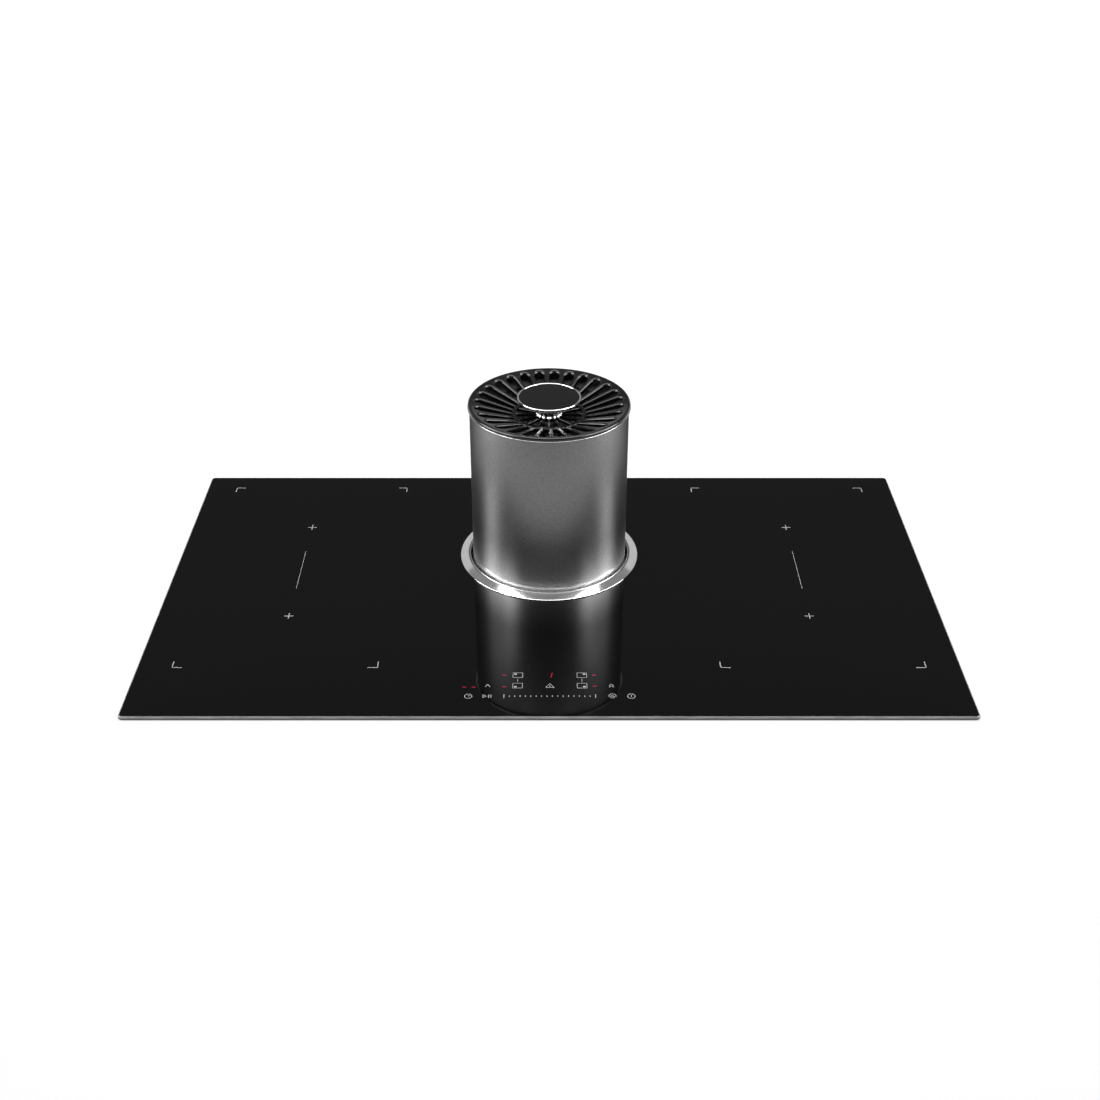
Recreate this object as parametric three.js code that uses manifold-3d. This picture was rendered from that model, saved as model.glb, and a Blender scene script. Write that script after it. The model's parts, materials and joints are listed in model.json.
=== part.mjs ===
// Induction cooktop with two long cooking zones and an extractor tower that rises out of the glass.
// Millimetres, +Z up, front of the cooktop towards -Y, origin at the centre of the underside.

import * as THREE from 'three';
import { mergeVertices } from 'three/addons/utils/BufferGeometryUtils.js';
import Module from 'manifold-3d';

const wasm = await Module();
wasm.setup();

// Clearances
const fitGap = 0.3;
const slideGap = 0.6;

// Glass plate and the worktop cut-out it covers
const plateWidth = 900;
const plateDepth = 520;
const plateCornerRadius = 5;
const glassThickness = 4;
const glassChamfer = 1.6;
const glassUnderChamfer = 0.5;
const sideOverhang = 10;
const frontOverhang = 15;
const sealThickness = 0.8;
const sealMargin = 1;

// Extractor tower
const towerRearInset = 193;
const towerRadius = 92.5;
const towerWall = 1.2;
const towerTravel = 200;
const towerInsertDepth = 30;
const footHeight = 16;
const footRingWidth = 18.5;

// Collar round the tower
const collarHeight = 5;
const collarGap = 3.2;
const collarFaceWidth = 12;
const collarSkirtWall = 4.5;
const collarSkirtDepth = 14;
const collarEdgeHeight = 1.2;
const gasketThickness = 0.5;
const wiperHeight = 6;
const wiperDepth = 4;

// Cap grille and its disc
const capOverhang = 1.7;
const capLipHeight = 5;
const capRimWidth = 5.9;
const capSpigotDepth = 7;
const capSpigotWall = 2.7;
const grilleSlots = 28;
const grilleClocking = -4.5;
const slotEndDepth = 8;
const grilleRibOuterWidth = 3.6;
const grilleRibInnerWidth = 2;
const grilleDrop = 14;
const grilleThickness = 6;
const grilleRingRadius = 42;
const grilleRingWidth = 3.4;
const spokeCount = 16;
const spokeWidth = 2.6;
const spokeThickness = 4;
const hubRadius = 17;
const discRadius = 37;
const discRimHeight = 3.5;
const discRimWidth = 1.6;
const discProud = 6.5;
const dishFloor = 1.2;
const insertRecess = 0.4;
const stemRadius = 14;
const stemWall = 2;

// Grease filter basket
const basketGap = 16.3;
const basketWall = 1;
const basketHeight = 92;
const basketFlangeThickness = 1.5;
const basketFlangeInset = 1;
const basketWindows = 12;
const basketWindowWidth = 24;
const basketWindowMargin = 14;

// Well that the tower sinks into
const wellWall = 1.5;
const wellFlangeWidth = 12;
const wellFloorThickness = 3;
const wellFloorLip = 3.5;
const wellFloorClearance = 3;
const wellLegRadius = 6;
const wellLegInset = 7;
const rodSocketWall = 4;
const rodSocketRise = 2;
const drainRadius = 10;

// Lift
const spindleRadius = 5;
const spindleWallGap = 7.3;
const spindleTopClearance = 4;
const spindleSeatDepth = 18;
const spindleCollarWidth = 2;
const spindleCollarHeight = 1.5;
const bossWall = 3.5;
const gearboxLength = 50;
const gearboxWidth = 46;
const gearboxCorner = 5;
const gearboxRib = 3;
const gearboxRibWidth = 18;
const liftMotorRadius = 15;
const liftMotorLength = 72;

// Lower frame and drip tray
const basePlateThickness = 2;
const lowerBayHeight = 34;
const frameLeftX = -232;
const frameRightX = 262;
const frameFrontReach = 112;
const frameRearReach = 128;
const panelThickness = 1.5;
const panelVentLength = 70;
const panelVentHeight = 16;
const panelVentRise = 45;
const panelVentPitch = 100;
const panelVentFirstRise = 50;
const panelVentInset = 35;
const plateVents = 5;
const plateVentWidth = 8;
const plateVentLength = 50;
const plateVentPitch = 18;
const plateVentInset = 24;
const dripTrayWidth = 100;
const dripTrayLength = 150;
const dripTrayHeight = 31;
const dripTrayWall = 1.5;
const fingerLipWidth = 36;
const fingerLipReach = 12;
const fingerLipThickness = 3;
const railHeight = 6;
const railWidth = 3;
const railOverrun = 40;

// Electronics tray under the glass
const trayMargin = 12;
const trayDepth = 58;
const trayLengthClearance = 4;
const trayWall = 1;
const trayCornerRadius = 6;
const airSlotsPerZone = 4;
const airSlotWidth = 22;
const airSlotHeight = 5;
const airSlotPitch = 36;
const airSlotRise = 16;
const fanSlotWidth = 8;
const fanSlotLength = 48;
const fanSlotPitch = 14;

// Cooking zones
const zoneSideGap = 33.5;
const zoneRearGap = 26;
const coilWidth = 214;
const coilDepth = 190;
const coilCornerRadius = 62;
const coilBoreWidth = 66;
const coilBoreDepth = 44;
const coilBoreCorner = 20;
const coilThickness = 5;
const coilBands = 2;
const bandGrooveWidth = 2;
const bandGrooveDepth = 1.2;
const carrierMargin = 4;
const carrierGap = 1.7;
const carrierThickness = 3;
const carrierCornerRadius = 40;
const ferriteBars = 6;
const ferriteThickness = 4;
const ferriteLength = 56;
const ferriteWidth = 13;
const ferriteInset = 18;
const micaThickness = 0.6;
const micaCornerRadius = 8;
const shelfThickness = 1.2;
const shelfMargin = 7;
const shelfLeg = 10;
const sensorRadius = 7;
const sensorFlangeWidth = 3;
const sensorFlangeThickness = 1.2;

// Electronics
const boardThickness = 1.6;
const standoffHeight = 5;
const standoffRadius = 4;
const standoffInset = 8;
const tallestPart = 26;
const powerBoardWidth = 200;
const powerBoardDepth = 210;
const powerBoardDrop = 83.15;
const sinkOffset = 30;
const sinkLength = 118;
const sinkFins = 8;
const sinkFinPitch = 6;
const sinkFinThickness = 1.6;
const sinkBase = 5;
const sinkHeight = 28;
const fanSize = 84;
const fanHeight = 30;
const fanWall = 2;
const fanBoardGap = 41.5;
const fanDrop = 57;
const fanCornerRadius = 8;
const fanChamberGap = 4;
const fanIntakeLip = 8;
const fanRotorRadius = 32;
const fanHubRadius = 10;
const fanBlades = 7;
const fanBladeThickness = 1.4;
const fanPinRadius = 2.7;
const touchBoardWidth = 250;
const touchBoardDepth = 50;
const touchFrontInset = 55;
const touchHolderHeight = 14;
const touchHolderWall = 1.5;
const touchHolderMargin = 3;
const touchHolderCorner = 5;
const touchPostRadius = 3;
const touchPostInset = 6;
const mainsBoardWidth = 160;
const mainsBoardDepth = 100;
const mainsBoardOffset = 12;
const terminalWidth = 80;
const terminalDepth = 34;
const terminalHeight = 32;
const terminalCorner = 4;
const terminalLidThickness = 2;
const terminalLidInset = 4;
const terminalSideInset = 88;
const terminalRearGap = 4;
const glandRadius = 11;
const glandWall = 5;
const clipWidth = 30;
const clipThickness = 1;
const clipTopDrop = 6;
const clipKneeDrop = 16;
const clipElbowDrop = 32;
const clipEndDrop = 50;
const clipEndInset = 115;
const clipTouchGap = 2;

// Blower
const scrollWidth = 88;
const scrollWall = 2;
const scrollFootHeight = 8;
const scrollMinRadius = 74;
const scrollMaxRadius = 100;
const scrollStandoff = 8;
const scrollOutletHeight = 72;
const scrollFootWidth = 18;
const scrollFootPlaces = [-8, 62];
const inletRadius = 50;
const inletWall = 4;
const impellerRadius = 66;
const impellerWidth = 70;
const impellerBlades = 12;
const impellerBladeDepth = 15;
const impellerBladeSweep = 0.16;
const impellerHubRadius = 16;
const impellerHubDepth = 14;
const impellerDiscThickness = 2;
const bladeThickness = 1.6;
const shaftRadius = 4;
const shaftReach = 36;
const blowerMotorRadius = 44;
const blowerMotorLength = 38;
const motorNeckInset = 14;
const motorNeckLength = 4;
const motorEndBevel = 6;

// Outlet for a flat duct
const ductWidth = 220;
const ductHeight = 88;
const ductWall = 2;
const ductCorner = 3;
const ductThroat = 14;
const ductSocket = 14;
const outletReach = 175;
const flapThickness = 2;
const flapPinRadius = 2;
const flapPinDrop = 2;
const flapDropClearance = 1.5;

// Facets round the larger and the smaller turned pieces
const roundFacets = 40;
const turnedFacets = 24;
const smallFacets = 12;

// Levels and places that follow from the sizes above
const cutoutWidth = plateWidth - 2 * sideOverhang;
const cutoutDepth = plateDepth - 2 * frontOverhang;
const towerCentreY = plateDepth / 2 - towerRearInset;
const carrierWidth = coilWidth + 2 * carrierMargin;
const carrierDepth = coilDepth + 2 * carrierMargin;
const coilSpacing = carrierDepth + carrierGap;
const shelfWidth = carrierWidth + 2 * shelfMargin;
const shelfLength = coilSpacing + carrierDepth + 2 * shelfMargin;
const zoneCentreX = plateWidth / 2 - zoneSideGap - shelfWidth / 2;
const zoneCentreY = plateDepth / 2 - zoneRearGap - shelfLength / 2;
const touchCentreY = touchFrontInset - plateDepth / 2;
const powerBoardCentreY = zoneCentreY - powerBoardDrop;
const fanCentreX = zoneCentreX - powerBoardWidth / 2 - fanSize / 2 - fanBoardGap;
const fanCentreY = powerBoardCentreY - fanDrop;
const frameFrontY = towerCentreY - frameFrontReach;
const frameRearY = towerCentreY + frameRearReach;
const outletEndY = towerCentreY + outletReach;
const baseTopZ = basePlateThickness;
const wellFloorUnderZ = baseTopZ + lowerBayHeight;
const wellFloorTopZ = wellFloorUnderZ + wellFloorThickness;
const footRestZ = wellFloorTopZ + wellFloorClearance + towerTravel;
const towerBottomZ = footRestZ + footHeight;
const glassTopZ = towerBottomZ + towerInsertDepth;
const glassUnderZ = glassTopZ - glassThickness;
const towerRise = towerTravel + collarHeight;
const capRimZ = glassTopZ + towerRise;
const towerTopZ = capRimZ - capLipHeight;
const towerBore = towerRadius - towerWall;
const footInnerRadius = towerRadius - footRingWidth;
const capRadius = towerRadius + capOverhang;
const capRimInnerRadius = capRadius - capRimWidth;
const basketRadius = towerBore - basketGap;
const spindleOrbit = towerBore - spindleWallGap;
const collarBore = towerRadius + collarGap;
const collarRadius = collarBore + collarFaceWidth;
const collarSkirtRadius = collarBore + collarSkirtWall;
const wellRadius = collarSkirtRadius + fitGap;
const wellOuterRadius = wellRadius + wellWall;
const glassHoleRadius = wellOuterRadius + fitGap;
const trayUnderZ = glassUnderZ - trayDepth;
const trayFloorZ = trayUnderZ + trayWall;
const trayWidth = cutoutWidth - 2 * trayMargin;
const trayLength = cutoutDepth - trayLengthClearance;
const terminalCentreX = trayWidth / 2 - terminalSideInset;
const clipCentreY = cutoutDepth / 2 - clipEndInset;
const micaUnderZ = glassUnderZ - micaThickness;
const coilUnderZ = micaUnderZ - coilThickness;
const carrierUnderZ = coilUnderZ - carrierThickness;
const shelfTopZ = carrierUnderZ - ferriteThickness;
const boardTopZ = trayFloorZ + standoffHeight + boardThickness;
const spindleTopZ = towerBottomZ + spindleTopClearance;
const scrollFirstX = wellOuterRadius + scrollStandoff;
const scrollCentreX = scrollFirstX + scrollWidth / 2;
const scrollCentreZ = baseTopZ + scrollFootHeight + scrollMaxRadius;
const outletStartY = towerCentreY + scrollMaxRadius + scrollWall;
const outletTopZ = scrollCentreZ - scrollMaxRadius + scrollOutletHeight;

const degrees = Math.PI / 180;
const cooktop = new THREE.Group();

// Shape helpers

function finish(color, roughness, metalness) {
  return new THREE.MeshStandardMaterial({ color, roughness, metalness });
}

function addPiece(name, geometry, material) {
  const mesh = new THREE.Mesh(geometry, material);
  mesh.name = name;
  cooktop.add(mesh);
  return mesh;
}

// Shared corners become one vertex, and triangles that collapse are left out.
function weld(geometry) {
  const bare = geometry.clone();
  bare.deleteAttribute('normal');
  bare.deleteAttribute('uv');
  const merged = mergeVertices(bare, 1e-4);
  const source = merged.index.array;
  const kept = [];
  for (let i = 0; i < source.length; i += 3) {
    const [a, b, c] = source.slice(i, i + 3);
    if (a !== b && b !== c && c !== a) kept.push(a, b, c);
  }
  merged.setIndex(kept);
  return merged;
}

function toSolid(geometry) {
  const welded = weld(geometry);
  return new wasm.Manifold(new wasm.Mesh({
    numProp: 3,
    vertProperties: new Float32Array(welded.attributes.position.array),
    triVerts: new Uint32Array(welded.index.array),
  }));
}

function toGeometry(solid) {
  const mesh = solid.getMesh();
  const geometry = new THREE.BufferGeometry();
  geometry.setAttribute('position', new THREE.BufferAttribute(new Float32Array(mesh.vertProperties), 3));
  geometry.setIndex(Array.from(mesh.triVerts));
  geometry.computeVertexNormals();
  return geometry;
}

function join(...geometries) {
  const solids = geometries.map(toSolid);
  return toGeometry(solids.reduce((whole, next) => whole.add(next)));
}

function cut(body, ...tools) {
  const solids = tools.map(toSolid);
  return toGeometry(solids.reduce((rest, tool) => rest.subtract(tool), toSolid(body)));
}

function move(geometry, x, y, z) {
  return geometry.clone().translate(x, y, z);
}

function turnAbout(geometry, angle) {
  return geometry.clone().rotateZ(angle);
}

function slab([x0, x1], [y0, y1], [z0, z1]) {
  const box = new THREE.BoxGeometry(x1 - x0, y1 - y0, z1 - z0);
  return box.translate((x0 + x1) / 2, (y0 + y1) / 2, (z0 + z1) / 2);
}

// Turns an outline of [radius, height] corners, anticlockwise, about the Z axis.
function revolve(corners, facets = roundFacets) {
  const points = corners.map(([radius, height]) => new THREE.Vector2(radius, height));
  if (corners[0][0] > 0) points.push(points[0].clone());
  return new THREE.LatheGeometry(points, facets).rotateX(Math.PI / 2);
}

function ring(outer, inner, z0, z1, facets = roundFacets) {
  return revolve([[inner, z0], [outer, z0], [outer, z1], [inner, z1]], facets);
}

function rod(radius, z0, z1, facets = smallFacets) {
  return revolve([[0, z0], [radius, z0], [radius, z1], [0, z1]], facets);
}

function rodAlongX(radius, x0, x1, facets = smallFacets) {
  return rod(radius, x0, x1, facets).rotateY(Math.PI / 2);
}

function prism(shape, z0, z1) {
  const solid = new THREE.ExtrudeGeometry(shape, { depth: z1 - z0, bevelEnabled: false });
  return solid.translate(0, 0, z0);
}

function roundedCorners(width, depth, radius, steps = 3) {
  const points = [];
  const centres = [[1, 1, 0], [-1, 1, 90], [-1, -1, 180], [1, -1, 270]];
  for (const [sx, sy, start] of centres) {
    for (let i = 0; i <= steps; i += 1) {
      const angle = (start + 90 * i / steps) * degrees;
      const x = sx * (width / 2 - radius) + radius * Math.cos(angle);
      const y = sy * (depth / 2 - radius) + radius * Math.sin(angle);
      points.push(new THREE.Vector2(x, y));
    }
  }
  return points;
}

function roundedShape(width, depth, radius, steps) {
  return new THREE.Shape(roundedCorners(width, depth, radius, steps));
}

function frameShape(width, depth, radius, innerWidth, innerDepth, innerRadius, steps) {
  const shape = roundedShape(width, depth, radius, steps);
  shape.holes.push(new THREE.Path(roundedCorners(innerWidth, innerDepth, innerRadius, steps).reverse()));
  return shape;
}

// Joins outlines with equal numbers of corners, from the lowest level to the highest.
function loft(levels) {
  const count = levels[0].outline.length;
  const positions = levels.flatMap(({ z, outline }) => outline.flatMap((point) => [point.x, point.y, z]));
  const indices = [];
  for (let level = 0; level < levels.length - 1; level += 1) {
    for (let i = 0; i < count; i += 1) {
      const a = level * count + i;
      const b = level * count + (i + 1) % count;
      indices.push(a, b, b + count, a, b + count, a + count);
    }
  }
  const last = (levels.length - 1) * count;
  for (const [a, b, c] of THREE.ShapeUtils.triangulateShape(levels[0].outline, [])) {
    indices.push(c, b, a);
  }
  for (const [a, b, c] of THREE.ShapeUtils.triangulateShape(levels[levels.length - 1].outline, [])) {
    indices.push(last + a, last + b, last + c);
  }
  const geometry = new THREE.BufferGeometry();
  geometry.setAttribute('position', new THREE.Float32BufferAttribute(positions, 3));
  geometry.setIndex(indices);
  return geometry;
}

// Glass, seal and collar

function glassPlate() {
  const level = (z, inset) => ({
    z,
    outline: roundedCorners(plateWidth - 2 * inset, plateDepth - 2 * inset, plateCornerRadius - inset),
  });
  const plate = loft([
    level(glassUnderZ, glassUnderChamfer),
    level(glassUnderZ + glassUnderChamfer, 0),
    level(glassTopZ - glassChamfer, 0),
    level(glassTopZ, glassChamfer),
  ]);
  const hole = move(rod(glassHoleRadius, glassUnderZ - 1, glassTopZ + 1, roundFacets), 0, towerCentreY, 0);
  return cut(plate, hole);
}

function sealTape() {
  const shape = frameShape(
    plateWidth - 2 * sealMargin, plateDepth - 2 * sealMargin, plateCornerRadius - sealMargin,
    cutoutWidth + 2 * sealMargin, cutoutDepth + 2 * sealMargin, plateCornerRadius - sealMargin,
  );
  return prism(shape, glassUnderZ - sealThickness, glassUnderZ);
}

// A polished ring with a bevelled inner lip, a wide sloping face and a skirt down through the glass.
function collarRing() {
  const flangeZ = glassTopZ + gasketThickness;
  const lipTop = glassTopZ + collarHeight;
  const edgeTop = glassTopZ + collarEdgeHeight;
  const profile = [
    [collarBore, glassTopZ - collarSkirtDepth],
    [collarSkirtRadius, glassTopZ - collarSkirtDepth],
    [collarSkirtRadius, flangeZ],
    [collarRadius - 0.6, flangeZ],
    [collarRadius, flangeZ + 0.5],
    [collarRadius, edgeTop],
    [collarBore + 2, lipTop],
    [collarBore + 0.8, lipTop],
    [collarBore, lipTop - 0.8],
  ];
  return move(revolve(profile), 0, towerCentreY, 0);
}

function collarGasket() {
  const outer = collarRadius - 1;
  const gasket = ring(outer, glassHoleRadius, glassTopZ, glassTopZ + gasketThickness, turnedFacets);
  return move(gasket, 0, towerCentreY, 0);
}

// A soft lip inside the collar that wipes the tower wall.
function wiperSeal() {
  const top = glassTopZ - wiperDepth;
  const profile = [
    [towerRadius + fitGap + 1, top - wiperHeight],
    [collarBore - fitGap, top - wiperHeight],
    [collarBore - fitGap, top],
    [towerRadius + fitGap, top - wiperHeight / 2],
  ];
  return move(revolve(profile), 0, towerCentreY, 0);
}

addPiece('glass_plate', glassPlate(), finish(0x0b0b0d, 0.06, 0));
addPiece('seal_tape', sealTape(), finish(0x1b1b1c, 0.9, 0));
addPiece('collar_ring', collarRing(), finish(0xc9cacc, 0.08, 1));
addPiece('collar_gasket', collarGasket(), finish(0x18181a, 0.8, 0));
addPiece('wiper_seal', wiperSeal(), finish(0x121213, 0.7, 0));

// Tower: the wall and the foot that carries it on the spindle

function towerTube() {
  return move(ring(towerRadius, towerBore, towerBottomZ, towerTopZ), 0, towerCentreY, 0);
}

function towerFoot() {
  const bore = spindleRadius + fitGap;
  const outer = wellRadius - slideGap;
  const plateTop = footRestZ + footHeight;
  const webTop = footRestZ + footHeight / 2;
  const profile = [
    [footInnerRadius, footRestZ],
    [outer, footRestZ],
    [outer, plateTop],
    [towerBore - 2, plateTop],
    [footInnerRadius, webTop],
  ];
  const boss = (side) => move(rod(spindleRadius + bossWall, footRestZ, plateTop), side * spindleOrbit, 0, 0);
  const hole = (side) => move(rod(bore, footRestZ - 1, plateTop + 1), side * spindleOrbit, 0, 0);
  const body = cut(join(revolve(profile), boss(-1), boss(1)), hole(-1), hole(1));
  return move(body, 0, towerCentreY, 0);
}

addPiece('tower_tube', towerTube(), finish(0x6f7072, 0.35, 1));
addPiece('tower_foot', towerFoot(), finish(0x222326, 0.55, 0));

// Cap grille: a flat rim, radial slots that sink towards an inner ring, and a flat spoked centre

// One tapering slot with a rounded outer end, pointing along +X.
function slotShape() {
  const halfPitch = Math.PI / grilleSlots;
  const halfAt = (radius, rib) => radius * Math.sin(halfPitch) - rib / 2;
  const innerHalf = halfAt(grilleRingRadius, grilleRibInnerWidth);
  const shoulder = capRimInnerRadius - slotEndDepth;
  const outerHalf = halfAt(shoulder, grilleRibOuterWidth);
  const depth = capRimInnerRadius - shoulder;
  const points = [new THREE.Vector2(grilleRingRadius, -innerHalf)];
  const steps = 4;
  for (let i = 0; i <= steps; i += 1) {
    const angle = (-90 + 180 * i / steps) * degrees;
    points.push(new THREE.Vector2(shoulder + depth * Math.cos(angle), outerHalf * Math.sin(angle)));
  }
  points.push(new THREE.Vector2(grilleRingRadius, innerHalf));
  return new THREE.Shape(points);
}

function topGrille() {
  const ringInner = grilleRingRadius - grilleRingWidth;
  const ringTop = capRimZ - grilleDrop;
  const spokeTop = ringTop - 1;
  const spokeUnder = spokeTop - spokeThickness;
  const spigotOuter = towerBore - fitGap;
  const spigotInner = spigotOuter - capSpigotWall;
  const spigotUnder = towerTopZ - capSpigotDepth;
  const rim = revolve([
    [spigotInner, spigotUnder],
    [spigotOuter, spigotUnder],
    [spigotOuter, towerTopZ],
    [capRadius, towerTopZ],
    [capRadius, capRimZ - 0.8],
    [capRadius - 0.8, capRimZ],
    [spigotInner, capRimZ],
  ], 2 * grilleSlots);
  const dish = revolve([
    [0, spokeUnder],
    [grilleRingRadius, spokeUnder],
    [spigotInner + 1, capRimZ - grilleThickness],
    [spigotInner + 1, capRimZ],
    [capRimInnerRadius, capRimZ],
    [grilleRingRadius, ringTop],
    [ringInner, ringTop],
    [ringInner, spokeTop],
    [0, spokeTop],
  ], grilleSlots);
  const slot = prism(slotShape(), spokeUnder - 10, capRimZ + 5);
  const pitch = 2 * Math.PI / grilleSlots;
  const start = (90 + grilleClocking) * degrees;
  const slots = Array.from({ length: grilleSlots }, (_, i) => turnAbout(slot, start + i * pitch));
  const spokeHalf = (radius) => radius * Math.sin(Math.PI / spokeCount) - spokeWidth / 2;
  const gap = new THREE.Shape([
    new THREE.Vector2(hubRadius, -spokeHalf(hubRadius)),
    new THREE.Vector2(ringInner, -spokeHalf(ringInner)),
    new THREE.Vector2(ringInner, spokeHalf(ringInner)),
    new THREE.Vector2(hubRadius, spokeHalf(hubRadius)),
  ]);
  const window = prism(gap, spokeUnder - 1, spokeTop + 1);
  const spokePitch = 2 * Math.PI / spokeCount;
  const windows = Array.from({ length: spokeCount }, (_, i) => turnAbout(window, i * spokePitch));
  const grid = cut(turnAbout(dish, start + pitch / 2), ...slots, ...windows);
  return move(join(grid, rim), 0, towerCentreY, 0);
}

// The bright stem and dish that hold the black disc above the spokes.
function discDish() {
  const seat = capRimZ - grilleDrop - 1;
  const top = capRimZ + discProud;
  const under = top - discRimHeight;
  const profile = [
    [stemRadius - stemWall, seat],
    [stemRadius, seat],
    [stemRadius, under - 2],
    [stemRadius + 3, under],
    [discRadius, under],
    [discRadius, top],
    [discRadius - discRimWidth, top],
    [discRadius - discRimWidth, under + dishFloor],
    [stemRadius - stemWall, under + dishFloor],
  ];
  return move(revolve(profile, turnedFacets), 0, towerCentreY, 0);
}

function discInsert() {
  const top = capRimZ + discProud;
  const under = top - discRimHeight + dishFloor;
  const radius = discRadius - discRimWidth - fitGap;
  const face = top - insertRecess;
  const profile = [[0, under], [radius, under], [radius, face - 0.5], [radius - 0.5, face], [0, face]];
  return move(revolve(profile, turnedFacets), 0, towerCentreY, 0);
}

// A perforated cup whose flange hangs under the cap's spigot.
function filterBasket() {
  const top = towerTopZ - capSpigotDepth - fitGap;
  const bottom = top - basketHeight;
  const flangeRadius = towerBore - fitGap - basketFlangeInset;
  const profile = [
    [0, bottom],
    [basketRadius - 6, bottom],
    [basketRadius, bottom + 6],
    [basketRadius, top - basketFlangeThickness],
    [flangeRadius, top - basketFlangeThickness],
    [flangeRadius, top],
    [basketRadius - basketWall, top],
    [basketRadius - basketWall, bottom + 6],
    [basketRadius - 6, bottom + basketWall],
    [0, bottom + basketWall],
  ];
  const half = basketWindowWidth / 2;
  const window = slab(
    [basketRadius - 3, basketRadius + 1],
    [-half, half],
    [bottom + basketWindowMargin, top - basketWindowMargin],
  );
  const pitch = 2 * Math.PI / basketWindows;
  const windows = Array.from({ length: basketWindows }, (_, i) => turnAbout(window, i * pitch));
  return move(cut(revolve(profile, 2 * basketWindows), ...windows), 0, towerCentreY, 0);
}

addPiece('top_grille', topGrille(), finish(0x141415, 0.25, 0));
addPiece('disc_dish', discDish(), finish(0xc4c5c7, 0.1, 1));
addPiece('disc_insert', discInsert(), finish(0x101011, 0.12, 0));
addPiece('filter_basket', filterBasket(), finish(0x8d9092, 0.35, 1));

// Well, its floor and the lift

function wellTube() {
  const profile = [
    [wellRadius, wellFloorTopZ],
    [wellOuterRadius, wellFloorTopZ],
    [wellOuterRadius, glassUnderZ - wellWall],
    [wellOuterRadius + wellFlangeWidth, glassUnderZ - wellWall],
    [wellOuterRadius + wellFlangeWidth, glassUnderZ],
    [wellRadius, glassUnderZ],
  ];
  const port = rodAlongX(inletRadius, wellRadius / 2, wellOuterRadius + 5, turnedFacets)
    .translate(0, 0, scrollCentreZ);
  return move(cut(revolve(profile), port), 0, towerCentreY, 0);
}

function wellFloor() {
  const radius = wellOuterRadius + wellFloorLip;
  const plate = rod(radius, wellFloorUnderZ, wellFloorTopZ, roundFacets);
  const socketRadius = spindleRadius + rodSocketWall;
  const socket = move(rod(socketRadius, wellFloorUnderZ, wellFloorTopZ + rodSocketRise), spindleOrbit, 0, 0);
  const leg = move(rod(wellLegRadius, baseTopZ, wellFloorUnderZ + 1, 8), radius - wellLegInset, 0, 0);
  const legs = [45, 135, 225, 315].map((angle) => turnAbout(leg, angle * degrees));
  const drain = rod(drainRadius, wellFloorUnderZ - 1, wellFloorTopZ + 1);
  const passage = move(rod(spindleRadius + fitGap, 0, wellFloorTopZ + 1), -spindleOrbit, 0, 0);
  const seat = move(rod(spindleRadius + fitGap, wellFloorTopZ, wellFloorTopZ + 5), spindleOrbit, 0, 0);
  return move(cut(join(plate, socket, ...legs), drain, passage, seat), 0, towerCentreY, 0);
}

function liftGearbox() {
  const half = gearboxLength / 2;
  const body = prism(roundedShape(gearboxLength, gearboxWidth, gearboxCorner), baseTopZ, wellFloorUnderZ);
  const bore = rod(spindleRadius + fitGap, wellFloorUnderZ - spindleSeatDepth - 1, wellFloorUnderZ + 1);
  const ribHalf = gearboxRibWidth / 2;
  const rib = slab([-half - gearboxRib, -half + 1], [-ribHalf, ribHalf], [baseTopZ, wellFloorUnderZ - 4]);
  return move(cut(join(body, rib), bore), -spindleOrbit, towerCentreY, 0);
}

function liftMotor() {
  const firstX = -spindleOrbit - gearboxLength / 2 - gearboxRib;
  const centreZ = baseTopZ + lowerBayHeight / 2;
  const r = liftMotorRadius;
  const profile = [
    [0, -liftMotorLength],
    [5, -liftMotorLength],
    [5, -liftMotorLength + 3],
    [r - 2, -liftMotorLength + 3],
    [r, -liftMotorLength + 5],
    [r, 0],
    [0, 0],
  ];
  return revolve(profile, smallFacets).rotateY(Math.PI / 2).translate(firstX, towerCentreY, centreZ);
}

function liftSpindle() {
  const profile = [
    [0, wellFloorUnderZ - spindleSeatDepth],
    [spindleRadius, wellFloorUnderZ - spindleSeatDepth],
    [spindleRadius, wellFloorTopZ + fitGap],
    [spindleRadius + spindleCollarWidth, wellFloorTopZ + fitGap],
    [spindleRadius + spindleCollarWidth, wellFloorTopZ + fitGap + spindleCollarHeight],
    [spindleRadius, wellFloorTopZ + fitGap + spindleCollarHeight],
    [spindleRadius, spindleTopZ - 1],
    [spindleRadius - 1, spindleTopZ],
    [0, spindleTopZ],
  ];
  return move(revolve(profile, smallFacets), -spindleOrbit, towerCentreY, 0);
}

function guideRod() {
  return move(rod(spindleRadius, wellFloorTopZ, spindleTopZ), spindleOrbit, towerCentreY, 0);
}

addPiece('well_tube', wellTube(), finish(0x9b9d9f, 0.4, 1));
addPiece('well_floor', wellFloor(), finish(0x3a3b3d, 0.6, 0));
addPiece('lift_gearbox', liftGearbox(), finish(0x2b2c2e, 0.55, 0));
addPiece('lift_motor', liftMotor(), finish(0x8a8c8e, 0.35, 1));
addPiece('lift_spindle', liftSpindle(), finish(0xb4b6b8, 0.25, 1));
addPiece('guide_rod', guideRod(), finish(0xb4b6b8, 0.2, 1));

// Lower frame and drip tray

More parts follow.
